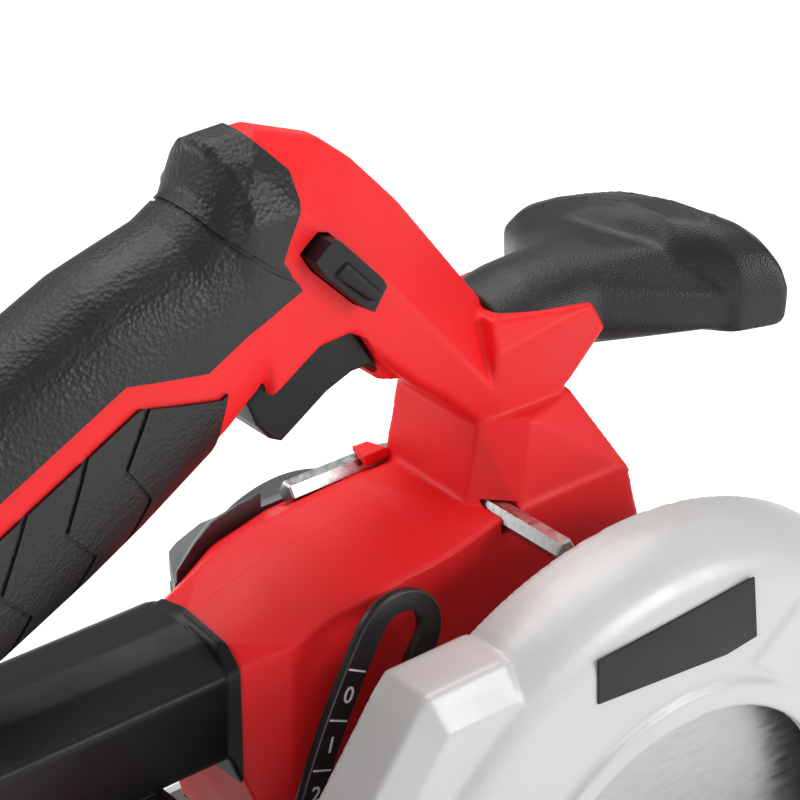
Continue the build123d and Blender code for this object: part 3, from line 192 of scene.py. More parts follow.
RED = moulded(
    "red_moulded", (0.80, 0.013, 0.016), (0.75, 0.011, 0.013),
    0.46, 1500, 0.00007, (0.86, 0.03, 0.03),
)
RUBBER = leathered(
    "black_grained", (0.008, 0.008, 0.009), (0.005, 0.005, 0.006),
    0.44, 950, 0.00020, (0.02, 0.02, 0.021),
)
KNOB = leathered(
    "knob_grained", (0.010, 0.010, 0.011), (0.006, 0.006, 0.007),
    0.42, 2300, 0.00010, (0.03, 0.03, 0.03),
)
BLACK = moulded(
    "black_moulded", (0.006, 0.006, 0.007), (0.004, 0.004, 0.005),
    0.42, 1300, 0.00008, (0.025, 0.025, 0.025),
)
GREY = moulded(
    "grey_moulded", (0.075, 0.08, 0.085), (0.06, 0.065, 0.07),
    0.45, 1300, 0.00008, (0.14, 0.14, 0.15),
)
GUARD = painted(
    "guard_coat", (0.55, 0.55, 0.54), (0.50, 0.50, 0.49),
    0.38, (0.76, 0.76, 0.75), 500, 0.00005, 0.1,
)
LABEL = moulded(
    "label_film", (0.010, 0.010, 0.012), (0.008, 0.008, 0.010),
    0.5, 900, 0.00002, (0.03, 0.03, 0.03),
)
PRINT = moulded(
    "white_print", (0.72, 0.72, 0.7), (0.66, 0.66, 0.64),
    0.5, 900, 0.00001, (0.75, 0.75, 0.74),
)
PAINT = painted(
    "black_coat", (0.012, 0.012, 0.013), (0.009, 0.009, 0.01),
    0.33, (0.12, 0.12, 0.12), 600, 0.00004,
)
PLATE = painted(
    "plate_coat", (0.5, 0.5, 0.49), (0.45, 0.45, 0.44),
    0.42, (0.7, 0.7, 0.69), 380, 0.00006, 0.6,
)
ZINC = metal("zinc_plated", (0.58, 0.6, 0.6), (0.46, 0.47, 0.47), 0.3)
STEEL = metal("ground_steel", (0.62, 0.62, 0.61), (0.5, 0.5, 0.5), 0.3, (1, 0.15, 1))
BLADE = metal("blade_ground", (0.5, 0.5, 0.5), (0.38, 0.38, 0.38), 0.34, (0.2, 1, 1))
ALLOY = metal("cast_alloy", (0.5, 0.5, 0.5), (0.4, 0.4, 0.4), 0.52, (1, 1, 1), 0.00012, 300)
COPPER = metal("copper", (0.75, 0.42, 0.25), (0.6, 0.3, 0.16), 0.35, (1, 0.1, 1))
CORE = metal("laminated_core", (0.12, 0.12, 0.12), (0.06, 0.06, 0.06), 0.5, (0.1, 12, 0.1))
BOARD = moulded(
    "lacquered_board", (0.02, 0.16, 0.06), (0.015, 0.11, 0.04),
    0.4, 700, 0.00004, (0.03, 0.2, 0.08),
)
CELL = moulded(
    "shrink_film", (0.03, 0.12, 0.36), (0.02, 0.09, 0.3),
    0.3, 300, 0.00003, (0.05, 0.16, 0.4),
)

BY_SLOT = {
    "red_plastic": RED,
    "black_rubber": RUBBER,
    "black_plastic": BLACK,
    "grey_plastic": GREY,
    "guard_paint": GUARD,
    "label_grey": LABEL,
    "black_paint": PAINT,
    "plate_steel": PLATE,
    "zinc_steel": ZINC,
    "bright_steel": STEEL,
    "blade_steel": BLADE,
    "cast_alloy": ALLOY,
    "copper": COPPER,
    "dark_core": CORE,
    "board_green": BOARD,
    "cell_blue": CELL,
}

for subpart in frame["record"]["subparts"]:
    shown = frame["nodes"][subpart["node"]]
    shown.data.materials.clear()
    shown.data.materials.append(BY_SLOT[subpart["material_slot"]])


# ------------------------------------------------------------------ mesh tools
def to_mesh(name, form):
    """Mesh datablock from a bmesh, which is freed."""
    mesh = bpy.data.meshes.new(name)
    form.to_mesh(mesh)
    form.free()
    return mesh


def put_in_scene(name, mesh):
    """Scene object that holds a mesh at the origin."""
    shape = bpy.data.objects.new(name, mesh)
    bpy.context.scene.collection.objects.link(shape)
    return shape


def take_out(shape):
    """Remove a working object that isn't part of the result."""
    bpy.data.objects.remove(shape, do_unlink=True)


def settle(shape):
    """Replace an object's mesh by what its modifiers make of it."""
    graph = bpy.context.evaluated_depsgraph_get()
    mesh = bpy.data.meshes.new_from_object(shape.evaluated_get(graph))
    shape.modifiers.clear()
    shape.data = mesh


def both_sides(points):
    """Points in millimetres, with their mirror images across the parting plane."""
    return list(points) + [(x, -y, z) for x, y, z in points]


class Clay:
    """Convex lumps, in millimetres, that are fused into one smooth-skinned form."""

    def __init__(self):
        self.form = bmesh.new()

    def wrap(self, points):
        """Add the convex block wrapped round the points."""
        lump = bmesh.new()
        for point in points:
            lump.verts.new(Vector(point) * MM)
        made = bmesh.ops.convex_hull(lump, input=lump.verts)
        inside = [item for item in made["geom_interior"] if isinstance(item, bmesh.types.BMVert)]
        bmesh.ops.delete(lump, geom=inside, context="VERTS")
        mesh = to_mesh("lump", lump)
        self.form.from_mesh(mesh)
        bpy.data.meshes.remove(mesh)

    def chain(self, rings):
        """Add a run of convex blocks, each wrapped round two neighbouring rings."""
        for first, second in zip(rings, rings[1:]):
            self.wrap(list(first) + list(second))

    def solid(self, name):
        """The lumps as they are, for use as a cutting block."""
        return put_in_scene(name, to_mesh(name, self.form))

    def fuse(self, name, voxel=0.9, rounds=3, factor=0.5):
        """One closed skin round everything added, with its edges softened."""
        shape = put_in_scene(name, to_mesh(name, self.form))
        skin = shape.modifiers.new("skin", "REMESH")
        skin.mode = "VOXEL"
        skin.voxel_size = voxel * MM
        soften = shape.modifiers.new("soften", "SMOOTH")
        soften.factor = factor
        soften.iterations = rounds
        settle(shape)
        return shape


def prism(outline, left, right):
    """Working block with the XZ outline given, from Y=left to Y=right."""
    form = bmesh.new()
    near = [form.verts.new(Vector((x, right, z)) * MM) for x, z in outline]
    far = [form.verts.new(Vector((x, left, z)) * MM) for x, z in outline]
    form.faces.new(near)
    form.faces.new(list(reversed(far)))
    count = len(outline)
    for index in range(count):
        after = (index + 1) % count
        form.faces.new((near[after], near[index], far[index], far[after]))
    bmesh.ops.recalc_face_normals(form, faces=form.faces)
    return put_in_scene("prism", to_mesh("prism", form))


def carve(shape, tool, how="DIFFERENCE"):
    """Cut a shape by a working block."""
    knife = shape.modifiers.new("carve", "BOOLEAN")
    knife.object = tool
    knife.operation = how
    knife.solver = "EXACT"
    settle(shape)
    take_out(tool)


def copy_of(shape, name, swell=0.0):
    """Copy of a shape, its skin pushed outwards by swell millimetres."""
    twin = put_in_scene(name, shape.data.copy())
    if swell:
        push = twin.modifiers.new("swell", "DISPLACE")
        push.mid_level = 0.0
        push.strength = swell * MM
        settle(twin)
    return twin


def halved(shape, name, side):
    """The half of a shape on one side of the parting plane, closed along it."""
    gap = 0.03
    half = put_in_scene(name, shape.data.copy())
    form = bmesh.new()
    form.from_mesh(half.data)
    cut = bmesh.ops.bisect_plane(
        form,
        geom=form.verts[:] + form.edges[:] + form.faces[:],
        plane_co=(0, side * gap * MM, 0),
        plane_no=(0, -side, 0),
        clear_outer=True,
    )
    rim = [item for item in cut["geom_cut"] if isinstance(item, bmesh.types.BMEdge)]
    bmesh.ops.triangle_fill(form, use_beauty=True, edges=rim)
    half.data = to_mesh(name, form)
    return half


def finish_piece(shape, material, body, slot, *nodes, sharp=35.0):
    """Give a piece its material, shading and body, and hide the CAD nodes it stands for. The slot argument
    is not used.
    """
    shape.data.materials.clear()
    shape.data.materials.append(material)
    for face in shape.data.polygons:
        face.material_index = 0
        face.use_smooth = True
    shape.data.set_sharp_from_angle(angle=math.radians(sharp))
    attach(shape, body)
    if nodes:
        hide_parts(*nodes)


def oval(middle, across, along, ring, power=2.4):
    """Ring of rounded-box points; across is half the Y width, along the half depth vector."""
    points = []
    for step in range(ring):
        angle = 2 * math.pi * step / ring
        c, s = math.cos(angle), math.sin(angle)
        c = math.copysign(abs(c) ** (2 / power), c)
        s = math.copysign(abs(s) ** (2 / power), s)
        points.append((middle[0] + along[0] * c, across * s, middle[1] + along[1] * c))
    return points


def blob(point, radius):
    """Small octahedron of points round a place."""
    x, y, z = point
    return [
        (x - radius, y, z), (x + radius, y, z), (x, y - radius, z),
        (x, y + radius, z), (x, y, z - radius), (x, y, z + radius),
    ]


def top_of(shape, x, y):
    """Height of a shape's upper skin over a place, in millimetres."""
    start = Vector((x, y, 400)) * MM
    hit, place, _, _ = shape.ray_cast(start, Vector((0, 0, -1)))
    return place.z / MM if hit else 0.0


def stepped(places, count):
    """Run of places with each stretch divided into equal steps."""
    line = []
    for first, second in zip(places, places[1:]):
        for step in range(count):
            share = step / count
            line.append(tuple(a + (b - a) * share for a, b in zip(first, second)))
    return line + [places[-1]]


def circle(middle, radius, count=72):
    """XZ outline of a circle."""
    return [
        (middle[0] + radius * math.cos(2 * math.pi * step / count),
         middle[1] + radius * math.sin(2 * math.pi * step / count))
        for step in range(count)
    ]


# ------------------------------------------------------------------ handle form
RIDGE_HALF = 2.5
FACET_HALF = 10.2
FLANK_HALF = 15.3
BAR = [
    ((-80, 217), (-74, 213), (-78, 203), (-72, 162)),
    ((-67, 217.3), (-61, 208.5), (-66, 203), (-60, 169.5)),
    ((-50.7, 210.8), (-52, 201), (-54.1, 192.9), (-51, 170)),
    ((-42.2, 203.8), (-45, 193.5), (-47, 184.5), (-44, 162)),
    ((-29.8, 190.5), (-35.3, 181.9), (-39.6, 175.9), (-38.8, 157)),
    ((-21.2, 179.4), (-27, 171.5), (-31, 165.7), (-33, 151.5)),
    ((-10.8, 165.8), (-19, 161), (-22, 155), (-26, 146)),
    ((0, 152), (-6.4, 144.3), (-3, 133), (-14, 134.5)),
]
GRIP_RINGS = [
    ((-70, 215), (-60, 171), 15.2),
    ((-79, 216.3), (-66, 167), 15.6),
    ((-82.5, 206.5), (-74, 158), 15.8),
    ((-91, 201.5), (-81, 152.5), 15.9),
    ((-101, 199), (-92, 145.5), 16.0),
    ((-112, 196), (-104, 138), 16.2),
    ((-125, 190), (-118, 130.5), 16.4),
    ((-150, 178.5), (-138, 121), 16.6),
    ((-184, 161), (-160, 111), 16.4),
    ((-204, 146), (-178, 99), 16.2),
    ((-210.5, 124), (-188, 88), 16.0),
    ((-210.5, 79), (-188, 79), 16.0),
]


def bar_ring(station):
    """Cross-section of the faceted bar between the grip and the socket."""
    ridge, facet, flank, edge = station
    right = [
        (ridge[0], -RIDGE_HALF, ridge[1]),
        (facet[0], -FACET_HALF, facet[1]),
        (flank[0], -FLANK_HALF, flank[1]),
        (edge[0], -FLANK_HALF + 0.8, edge[1] + 1),
        (edge[0] - 0.5, -FLANK_HALF + 3, edge[1] - 0.5),
    ]
    return both_sides(right)


def grip_ring(station):
    """Rounded cross-section of the grip between its back and its front."""
    back, front, half_width = station
    middle = ((back[0] + front[0]) / 2, (back[1] + front[1]) / 2)
    along = ((back[0] - front[0]) / 2, (back[1] - front[1]) / 2)
    return oval(middle, half_width, along, 40)


def lower_bar_ring(x):
    """Cross-section of the lower bar behind the body."""
    section = [(14.5, 103.4), (11.8, 104.8), (0, 106.3), (-7.8, 104.8), (-16.5, 100.8)]
    section += [(-16, 80), (15, 80)]
    return [(x, y, z) for y, z in section]


def body_ring(x, left, right, floor, profile):
    """Cross-section of the body: its side walls, floor and five heights along the top."""
    wall_left, shoulder, ridge, slope, edge = profile
    return [
        (x, left, floor), (x, left, wall_left), (x, 9.5, shoulder), (x, 0, ridge),
        (x, -12, slope), (x, right, edge), (x, right, floor),
    ]


BODY_RINGS = [
    body_ring(-88, 15, -16.8, 80, (100, 105.5, 107.6, 106.2, 101.5)),
    body_ring(-76, 20.5, -23.6, 44, (100, 111.5, 111, 109.5, 107.2)),
    body_ring(-65, 20.5, -24, 38, (107.5, 115.7, 113.4, 112, 110.6)),
    body_ring(-50, 20.5, -24, 31, (111, 116.7, 115, 113.4, 111.6)),
    body_ring(-33, 20.5, -24, 30, (111.5, 117.8, 116.4, 115, 112.9)),
    body_ring(-17, 20.5, -24, 30, (112, 118, 117.5, 117.2, 116.6)),
    body_ring(21, 20.5, -24, 36, (116, 117.5, 117.5, 117, 116.6)),
    body_ring(30, 19.5, -23, 46, (88, 91, 92, 91, 88)),
]
PILLAR = [
    (-20.5, 0, 115), (-15.2, 0, 131), (-20.5, -14, 115), (-16, -14, 136.5), (-11, -23.8, 115),
    (-5, -19.5, 135.5), (22, -23.8, 115), (23, -8, 115), (10.5, -15.3, 136), (12, 0, 138),
]
SOCKET = [
    (-12, -15.3, 138), (-12, -15.3, 152), (-10, -11, 158.5), (4, -12, 157), (17, -15.3, 155.5),
    (21, -15.3, 148.5), (18, -12, 146), (10, -15.3, 138), (0, -15.3, 134),
]
LIP = [(-45, -9, 158), (-40, -8.5, 153), (-35.3, -8.5, 151.3), (-28, -9, 152), (-36, -9, 163)]
FOOT = [
    (-211, -36, 70.5), (-211, -36, 77), (-105, -36, 77), (-105, -36, 70.5),
    (-208, -30, 79), (-108, -30, 79),
]

handle = Clay()
handle.chain([bar_ring(station) for station in BAR])
handle.chain([grip_ring(station) for station in GRIP_RINGS])
handle.chain([lower_bar_ring(x) for x in (-196, -87)])
handle.chain(BODY_RINGS)
for lump in (PILLAR, SOCKET, LIP, FOOT):
    handle.wrap(both_sides(lump))
form = handle.fuse("handle_form", voxel=0.7, rounds=2)

# ------------------------------------------------------------------ handle pieces
ROOMS = [
    ([(-19, 113), (-10, 130), (-10, 136), (-37, 164), (-46, 173.5), (-56, 174.5), (-68, 166), (-77, 158),
      (-84, 158), (-120, 138), (-162, 118), (-165, 102), (-90, 102), (-86, 82), (-206, 82), (-206, 124),
      (-200, 142), (-184, 158), (-120, 184), (-84, 197), (-76, 202), (-64, 200), (-50, 188), (-32, 169),
      (-14, 146), (2, 136), (4, 133), (12, 119), (13, 113)], 8.5, -8.5),
    ([(-73, 46), (-73, 100), (-61, 107), (-49, 109), (17, 110), (26, 88), (27, 48), (13, 34),
      (-58, 34)], 24, -21),
    ([(-81, 165), (-79, 157), (-74, 152), (-70, 146), (-40.7, 155.5), (-43.3, 161.9), (-47.5, 168.8),
      (-50, 176), (-52, 181), (-60.5, 184), (-71, 178.5)], 11.5, -11.5),
]
BUTTON = [(-65.2, 192.9), (-60.9, 196.3), (-58.4, 195.5), (-47.3, 183.6), (-46.4, 181.8)]
BUTTON += [(-49.8, 176.7), (-52.4, 178.4), (-62.6, 188.7)]
BUTTON_MIDDLE = (-56.0, 187.0)
TRIGGER_SEAM = [(-41.5, 155), (-43.9, 161.4), (-48.1, 168.2), (-51.5, 169.9), (-57.5, 169.1)]
TRIGGER_SEAM += [(-63.5, 165.7), (-70.3, 159.7), (-74.5, 154.6), (-78, 140), (-45, 140)]


def spread(outline, middle, share):
    """Outline scaled about its middle."""
    return [(middle[0] + (x - middle[0]) * share, middle[1] + (z - middle[1]) * share) for x, z in outline]


def box_outline(rear, front, low, high):
    """XZ rectangle."""
    return [(rear, low), (front, low), (front, high), (rear, high)]


shell = copy_of(form, "shell")
carve(shell, prism(TRIGGER_SEAM, 20, -20))
carve(shell, prism(box_outline(-48.7, -11.5, 112.6, 130), 30, 13.9))
carve(shell, prism(box_outline(-17.5, -11.5, 112.5, 118.3), 16, -30))
carve(shell, prism(spread(BUTTON, BUTTON_MIDDLE, 1.09), 20, -20))
for outline, left, right in ROOMS:
    carve(shell, prism(outline, left, right))
housing_right = halved(shell, "housing_right_shell", -1)
housing_left = halved(shell, "housing_left_shell", 1)
finish_piece(housing_right, RED, "saw_body", "red_plastic", "housing_right", sharp=60)
finish_piece(housing_left, RED, "saw_body", "red_plastic", "housing_left", sharp=60)
take_out(shell)

UPPER_GRIP = [(-74.5, 222), (-65, 210.5), (-65.3, 205), (-70.9, 193.4), (-65.7, 185.3), (-80.5, 180.1)]
UPPER_GRIP += [(-90.7, 175), (-110.3, 178.4), (-140.2, 163.9), (-172, 148.5), (-192, 138), (-216, 120)]
UPPER_GRIP += [(-216, 160), (-150, 205), (-90, 226)]
LOWER_GRIP = [(-86.5, 140), (-86.5, 161.4), (-85.6, 168.2), (-87.3, 167.4), (-107.8, 172.5)]
LOWER_GRIP += [(-141, 156.3), (-173, 141), (-192, 130), (-216, 112), (-216, 60), (-186.5, 60), (-186.5, 98)]
LOWER_GRIP += [(-170, 104), (-154, 107), (-110, 125)]
LOWER_SKIN = [(-86.5, 70), (-86.5, 112), (-120, 112), (-158, 106), (-168, 103), (-185.5, 97), (-185.5, 70)]



def band(places, width):
    """XZ outline of a groove of one width along a run of places."""
    left, right = [], []
    for index, place in enumerate(places):
        before = Vector(places[max(0, index - 1)])
        after = Vector(places[min(len(places) - 1, index + 1)])
        along = (after - before).normalized()
        off = Vector((-along.y, along.x)) * width / 2
        left.append(tuple(Vector(place) + off))
        right.append(tuple(Vector(place) - off))
    return left + right[::-1]


def grooved(name, outline, grooves):
    """Soft cover over the handle inside an outline, with grooves down to its own base layer."""
    cover = copy_of(skin, name)
    carve(cover, prism(outline, 24, -24), "INTERSECT")
    for groove in grooves:
        carve(cover, prism(band(groove, GROOVE_WIDTH), 24, -24))
    base = copy_of(base_layer, name + "_base")
    carve(base, prism(outline, 24, -24), "INTERSECT")
    both = bmesh.new()
    both.from_mesh(cover.data)
    both.from_mesh(base.data)
    take_out(base)
    cover.data = to_mesh(name, both)
    return cover


GROOVE_WIDTH = 1.3
UPPER_GROOVES = [[(-93, 214), (-84, 201.5), (-73.5, 192.5), (-64, 186)]]
LOWER_GROOVES = [
    [(-104, 176), (-112, 160), (-105, 150), (-114, 128)],
    [(-119, 172), (-127, 151), (-119, 142), (-129, 120)],
    [(-134, 164), (-143, 143), (-135, 134), (-145, 112)],
    [(-150, 156), (-159, 135), (-151, 126), (-161, 104)],
]
skin = copy_of(form, "skin", swell=0.85)
base_layer = copy_of(form, "base_layer", swell=0.2)
upper_grip = grooved("grip_upper_skin", UPPER_GRIP, UPPER_GROOVES)
lower_grip = grooved("grip_lower_skin", LOWER_GRIP, LOWER_GROOVES)
take_out(base_layer)
bar_skin = copy_of(skin, "lower_bar_cover")
carve(bar_skin, prism(LOWER_SKIN, 24, -24), "INTERSECT")
finish_piece(upper_grip, RUBBER, "saw_body", "black_rubber", "grip_overmould", sharp=50)
finish_piece(lower_grip, RUBBER, "saw_body", "black_rubber", sharp=50)
finish_piece(bar_skin, BLACK, "saw_body", "black_rubber", "lower_bar_skin", sharp=50)
take_out(skin)
take_out(form)

# ------------------------------------------------------------------ front knob
KNOB_HEAD = [(28, 26), (33, 34), (39, 36), (50, 29), (58, 12), (63, -6), (66, -24), (62, -33)]
KNOB_HEAD += [(50, -29), (44, -21), (37, -8), (31, 10)]
KNOB_MIDDLE = (46.0, 0.0)
KNOB_LEVELS = [(142, 0.93, 0), (143.5, 0.99, 0), (152, 1.0, 0), (157, 0.92, 1), (161, 0.77, 3)]
KNOB_LEVELS += [(164.5, 0.56, 5), (166.5, 0.32, 7)]
RIB_RADIUS = 3.2
RIB_RISE = 0.7
FAN = [(29, 25), (33, 33), (37, -8), (44, -21), (49, -27)]
NECK_RINGS = [(-7, 150, 13, 10.5), (4, 151, 14, 12), (20, 151.5, 14.4, 12), (27, 151.8, 16.5, 11.5)]
NECK_RINGS += [(36, 151.5, 19, 9.5)]
RIBS = [
    [(36, 27), (41, 15), (44, 2), (45, -10), (44, -16)],
    [(44, 28), (49, 15), (52, 1), (53, -10), (52, -16)],
    [(51, 23), (56, 9), (58, -4), (58, -12)],
]
knob_clay = Clay()
head_rings = []
for height, share, lean in KNOB_LEVELS:
    around = spread(KNOB_HEAD, KNOB_MIDDLE, share)
    head_rings.append([(x + 0.3 * lean, y - lean, height) for x, y in around])
knob_clay.chain(head_rings)
neck = []
for x, z, across, deep in NECK_RINGS:
    turned = []
    for step in range(28):
        angle = 2 * math.pi * step / 28
        turned.append((x, across * math.cos(angle), z + deep * math.sin(angle)))
    neck.append(turned)
knob_clay.chain(neck)
knob_clay.wrap(neck[2] + [(x, y, z) for x, y in FAN for z in (144, 152)] + [(40, 18, 161), (46, -14, 161)])
knob_base = knob_clay.fuse("knob_base", voxel=0.9, rounds=6)
ribbed = Clay()
ribbed.form.from_mesh(knob_base.data)
for rib in RIBS:
    line = stepped(rib, 5)
    sunk = RIB_RADIUS - RIB_RISE
    ribbed.chain([blob((x, y, top_of(knob_base, x, y) - sunk), RIB_RADIUS) for x, y in line])
take_out(knob_base)
knob = ribbed.fuse("front_knob_grip", voxel=0.7, rounds=6)
finish_piece(knob, KNOB, "saw_body", "black_rubber", "front_knob", sharp=60)


# ------------------------------------------------------------------ upper guard
BLADE_AXIS = (0.0, 27.5)
GUARD_LEFT = -44.3
GUARD_RIGHT = -66.5
GUARD_RADIUS = 92.0
GUARD_FLOOR = 10.0
GUARD_WALL = 2.5
HUB_OPENING = 50.0
PIVOT = (97.0, 14.0)
SPIGOT = (-55.4, 66.0)
DUCT = [(-46, 108.6), (-68, 108.6), (-72, 104), (-89, 80), (-89, 40), (-40, 40)]


def drum(radius, left, right, shoulder):
    """Points of a drum on the blade axis whose right-hand shoulder is rounded."""
    profile = [(left, radius)]
    for step in range(9):
        angle = math.radians(90 * step / 8)
        across = shoulder * 1.15 * (1 - math.sin(angle))
        profile.append((right + across, radius - shoulder * (1 - math.cos(angle))))
    points = []
    for x, z in circle((0, 0), 1.0, 120):
        points += [(BLADE_AXIS[0] + x * r, y, BLADE_AXIS[1] + z * r) for y, r in profile]
    return points


def ring_section(angle, inner, outer, low, high):
    """Section of a raised ring on the guard's right face at an angle."""
    c, s = math.cos(angle), math.sin(angle)
    places = [(inner, low), (inner, high), (outer - 2.5, high), (outer, low)]
    return [(BLADE_AXIS[0] + r * c, y, BLADE_AXIS[1] + r * s) for r, y in places]


guard_clay = Clay()
guard_clay.wrap(drum(GUARD_RADIUS, GUARD_LEFT, GUARD_RIGHT, 14))
guard_clay.wrap([(x, y, z) for x, z in DUCT for y in (GUARD_LEFT, GUARD_RIGHT + 8)]
                + [(x * 0.9 - 5, GUARD_RIGHT + 3, z - 8) for x, z in DUCT[:4]])
steps = [math.radians(-22 + 4 * step) for step in range(57)]
guard_clay.chain([ring_section(a, HUB_OPENING, 58, GUARD_RIGHT + 1, GUARD_RIGHT - 1.6) for a in steps])
guard_clay.wrap([(x, y, z) for x, z in ((21, 84), (36, 95), (62, 72), (52, 60), (30, 76))
                 for y in (GUARD_RIGHT + 1, GUARD_RIGHT - 1.0)])
guard_clay.wrap([(x, y, z) for x, z in circle(PIVOT, 8, 24) + circle((70, 40), 14, 24)
                 for y in (GUARD_LEFT, GUARD_LEFT - 3)])
guard = guard_clay.fuse("upper_guard_cast", voxel=0.8, rounds=4)
room = Clay()
room.wrap(drum(GUARD_RADIUS - GUARD_WALL, GUARD_LEFT - 3, GUARD_RIGHT + GUARD_WALL, 8))
carve(guard, room.solid("guard_room"))
carve(guard, prism(circle(BLADE_AXIS, HUB_OPENING), GUARD_RIGHT + 5, GUARD_RIGHT - 5))
carve(guard, prism(circle(BLADE_AXIS, 15.3), GUARD_LEFT + 2, GUARD_LEFT - 5))
carve(guard, prism(circle(PIVOT, 4.1), GUARD_LEFT + 2, GUARD_LEFT - 5))
carve(guard, prism(box_outline(-130, 130, -90, GUARD_FLOOR), -40, -75))
for rear, front, radius in ((-115, -70, 7.4), (-115, -84, 9.1)):
    bore = Clay()
    around = circle((0, 0), radius, 48)
    bore.wrap([(x, SPIGOT[0] + y, SPIGOT[1] + z) for x in (rear, front) for y, z in around])
    carve(guard, bore.solid("bore"))
finish_piece(guard, GUARD, "saw_body", "guard_paint", "upper_guard", sharp=40)


# ------------------------------------------------------------------ hex key
def swept_hexagon(name, path, flats):
    """Hexagonal bar, in millimetres across flats, along a path in a level plane."""
    radius = flats / math.sqrt(3)
    form = bmesh.new()
    rings = []
    for index, place in enumerate(path):
        before = Vector(path[max(0, index - 1)])
        after = Vector(path[min(len(path) - 1, index + 1)])
        side = (after - before).normalized().cross(Vector((0, 0, 1)))
        end = index in (0, len(path) - 1)
        reach = radius * (0.86 if end else 1.0)
        ring = []
        for corner in range(6):
            angle = math.radians(60 * corner)
            point = Vector(place) + side * reach * math.cos(angle) + Vector((0, 0, reach * math.sin(angle)))
            ring.append(form.verts.new(point * MM))
        rings.append(ring)
    for first, second in zip(rings, rings[1:]):
        for corner in range(6):
            after = (corner + 1) % 6
            form.faces.new((first[corner], first[after], second[after], second[corner]))
    form.faces.new(list(reversed(rings[0])))
    form.faces.new(rings[-1])
    bmesh.ops.recalc_face_normals(form, faces=form.faces)
    return put_in_scene(name, to_mesh(name, form))


KEY_X, KEY_Z = -14.5, 115.4
KEY_TIP, KEY_SIDE, KEY_END = -42.0, 17.0, -46.5
BEND = 6.0
key_path = [(KEY_X, KEY_TIP, KEY_Z), (KEY_X, KEY_TIP + 0.5, KEY_Z), (KEY_X, KEY_SIDE - BEND, KEY_Z)]
for step in range(1, 8):
    angle = math.radians(90 * step / 8)
    x = KEY_X - BEND * (1 - math.cos(angle))
    key_path.append((x, KEY_SIDE - BEND * (1 - math.sin(angle)), KEY_Z))
key_path += [(KEY_X - BEND, KEY_SIDE, KEY_Z), (KEY_END + 0.5, KEY_SIDE, KEY_Z), (KEY_END, KEY_SIDE, KEY_Z)]
hex_key = swept_hexagon("hex_key_bar", key_path, 5.0)
finish_piece(hex_key, ZINC, "hex_key", "zinc_steel", "hex_key", sharp=30)

clip_clay = Clay()
clip_clay.wrap([(-27, 12.5, 117), (-27, 12.5, 120), (-20, 12.5, 120), (-19, 12.5, 117), (-26, 18.5, 118.6),
                (-26, 18.5, 120), (-21.5, 18.5, 119.6), (-21.5, 18.5, 118.6)])
clip = clip_clay.fuse("key_clip", voxel=0.4, rounds=2)
finish_piece(clip, RED, "saw_body", "red_plastic", sharp=60)

rim_clay = Clay()
rim_clay.wrap([
    (-75.4, 20.4, 104), (-70, 20.4, 109.7), (-64.9, 20.4, 113.6), (-56, 20.4, 115.6),
    (-50.5, 20.4, 116), (-75.4, 20.4, 60), (-50.5, 20.4, 60), (-70, 28, 99),
    (-66, 28, 104), (-61, 28, 108.4), (-51, 28, 110), (-69, 29, 60),
    (-51, 29, 60),
])
rim = rim_clay.fuse("motor_cap_rim", voxel=0.6, rounds=3)
finish_piece(rim, GREY, "saw_body", "grey_plastic", sharp=60)

wedge_clay = Clay()
wedge_clay.wrap([
    (-61, -19, 188.5), (-57.5, -19, 191.5), (-48.5, -19, 182), (-49.5, -19, 179.5), (-52, -19, 180),
    (-60, -20.2, 188.5), (-57.2, -20.2, 190.2), (-50, -22, 182), (-50.5, -22, 180.6), (-52, -22, 181),
])
wedge = wedge_clay.fuse("button_wedge", voxel=0.4, rounds=3)
finish_piece(wedge, BLACK, "lock_off_button", "black_plastic", sharp=60)

# ------------------------------------------------------------------ depth scale
SCALE_FACE = -35.6
SCALE_RADIUS = 187.6
TICK_STEP = 3.6
DIGIT_SIZE = 5.5


def on_scale(angle, radius):
    """Place on the depth scale's right face at an angle round the pivot."""
    turn = math.radians(angle)
    return (PIVOT[0] + radius * math.cos(turn), PIVOT[1] + radius * math.sin(turn))


def scale_tick(angle):
    """Fine raised line across the scale."""
    tick = []
    for off in (-0.06, 0.06):
        for radius in (185.4, 190.4):
            x, z = on_scale(angle + off, radius)
            tick += [(x, SCALE_FACE + 0.2, z), (x, SCALE_FACE - 0.08, z)]
    return tick


ticks = Clay()
for number in range(7):
    ticks.wrap(scale_tick(151.5 + TICK_STEP * number))
scale_ticks = ticks.solid("scale_ticks")
finish_piece(scale_ticks, PRINT, "bevel_frame", "black_paint", sharp=30)
for number in range(6):
    words = bpy.data.curves.new("scale_digit", "FONT")
    words.body = str(number)
    words.size = DIGIT_SIZE * MM
    words.extrude = 0.08 * MM
    words.align_x = "CENTER"
    words.align_y = "CENTER"
    holder = bpy.data.objects.new("scale_digit", words)
    bpy.context.scene.collection.objects.link(holder)
    angle = 153.3 + TICK_STEP * number
    x, z = on_scale(angle, SCALE_RADIUS)
    turn = Matrix.Rotation(math.radians(90), 4, "X") @ Matrix.Rotation(math.radians(angle - 180 + 8), 4, "Z")
    place = Matrix.Translation(Vector((x, SCALE_FACE, z)) * MM) @ turn
    graph = bpy.context.evaluated_depsgraph_get()
    mesh = bpy.data.meshes.new_from_object(holder.evaluated_get(graph))
    mesh.transform(place)
    digit = put_in_scene("scale_digit_" + str(number), mesh)
    take_out(holder)
    finish_piece(digit, PRINT, "bevel_frame", "black_paint", sharp=30)

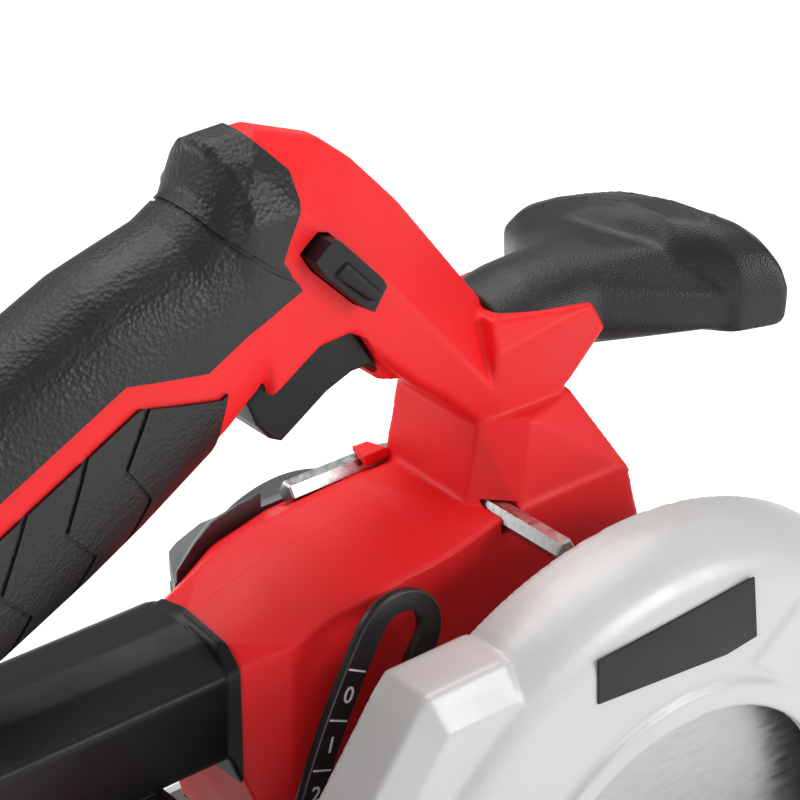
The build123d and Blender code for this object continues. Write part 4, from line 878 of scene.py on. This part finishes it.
# ------------------------------------------------------------------ softened edges on plain parts
EDGES = {
    "trigger": 1.2, "lock_off_button": 1.0, "motor_cap": 1.4, "depth_bracket": 0.5, "guard_label": 0.2,
    "sole_plate": 0.5, "bevel_quadrant": 0.4, "depth_lever": 1.0, "bevel_lever": 1.0, "fence_clamp": 0.6,
    "battery_tray": 1.0, "battery_lid": 0.8, "battery_latch": 0.8, "gear_housing": 1.0, "bevel_frame": 0.4,
}
for node, width in EDGES.items():
    part = frame["nodes"][node]
    join = part.modifiers.new("join", "WELD")
    join.merge_threshold = 0.00001
    round_off = part.modifiers.new("round_off", "BEVEL")
    round_off.width = width * MM
    round_off.segments = 3
    round_off.limit_method = "ANGLE"
    round_off.angle_limit = math.radians(35)
    round_off.harden_normals = True


# ------------------------------------------------------------------ studio
def look(location, forward, up):
    """Matrix of a camera or light at a place, facing forward."""
    z_axis = -Vector(forward).normalized()
    x_axis = Vector(up).cross(z_axis).normalized()
    turn = Matrix((x_axis, z_axis.cross(x_axis), z_axis)).transposed().to_4x4()
    return Matrix.Translation(Vector(location)) @ turn


CAMERA_PLACE = (-0.40073, -0.45178, 0.45832)
CAMERA_FORWARD = (0.56018, 0.67714, -0.47716)
lens = bpy.data.cameras.new("camera")
lens.lens = 135
lens.sensor_width = 36
lens.clip_start = 0.01
camera = bpy.data.objects.new("camera", lens)
camera.matrix_world = look(CAMERA_PLACE, CAMERA_FORWARD, (0, 0, 1))
bpy.context.scene.collection.objects.link(camera)
bpy.context.scene.camera = camera


def soft_light(name, place, target, size, power, tone=(1, 1, 1)):
    """Square area light at a place, aimed at a target."""
    lamp = bpy.data.lights.new(name, "AREA")
    lamp.shape = "RECTANGLE"
    lamp.size, lamp.size_y = size
    lamp.energy = power
    lamp.color = tone
    holder = bpy.data.objects.new(name, lamp)
    direction = Vector(target) - Vector(place)
    holder.matrix_world = look(place, direction, (0, 0.01, 1))
    bpy.context.scene.collection.objects.link(holder)


HEART = (-0.03, -0.01, 0.13)
soft_light("top_light", (0.1, 0.25, 1.0), HEART, (0.9, 0.9), 8)
soft_light("left_light", (-0.75, 0.65, 0.75), HEART, (0.7, 0.5), 5.5)
soft_light("right_light", (0.55, -0.95, 0.45), HEART, (0.7, 0.4), 6)
soft_light("low_light", (-0.7, -0.75, 0.1), HEART, (0.6, 0.3), 1.2)

FLOOR_Z = cad_box[0][2] - 0.0005
floor_mesh = bpy.data.meshes.new("floor")
reach = 4.0
corners = [(x, y, FLOOR_Z) for x, y in ((-reach, -reach), (reach, -reach), (reach, reach), (-reach, reach))]
floor_mesh.from_pydata(corners, [], [(0, 1, 2, 3)])
floor = bpy.data.objects.new("floor", floor_mesh)
bpy.context.scene.collection.objects.link(floor)
ground = Finish("pale_floor", (0.95, 0.95, 0.95), 0.7)
ground.shader.inputs["Emission Color"].default_value = (1, 1, 1, 1)
ground.shader.inputs["Emission Strength"].default_value = 0.3
ground.feed("Roughness", ground.span(ground.noise(3, 2), 0.65, 0.75))
floor.data.materials.append(ground.material)

world = bpy.data.worlds.new("studio")
world.use_nodes = True
world.node_tree.nodes["Background"].inputs["Color"].default_value = (1, 1, 1, 1)
world.node_tree.nodes["Background"].inputs["Strength"].default_value = 0.4
bpy.context.scene.world = world
bpy.context.scene.view_settings.view_transform = "Standard"
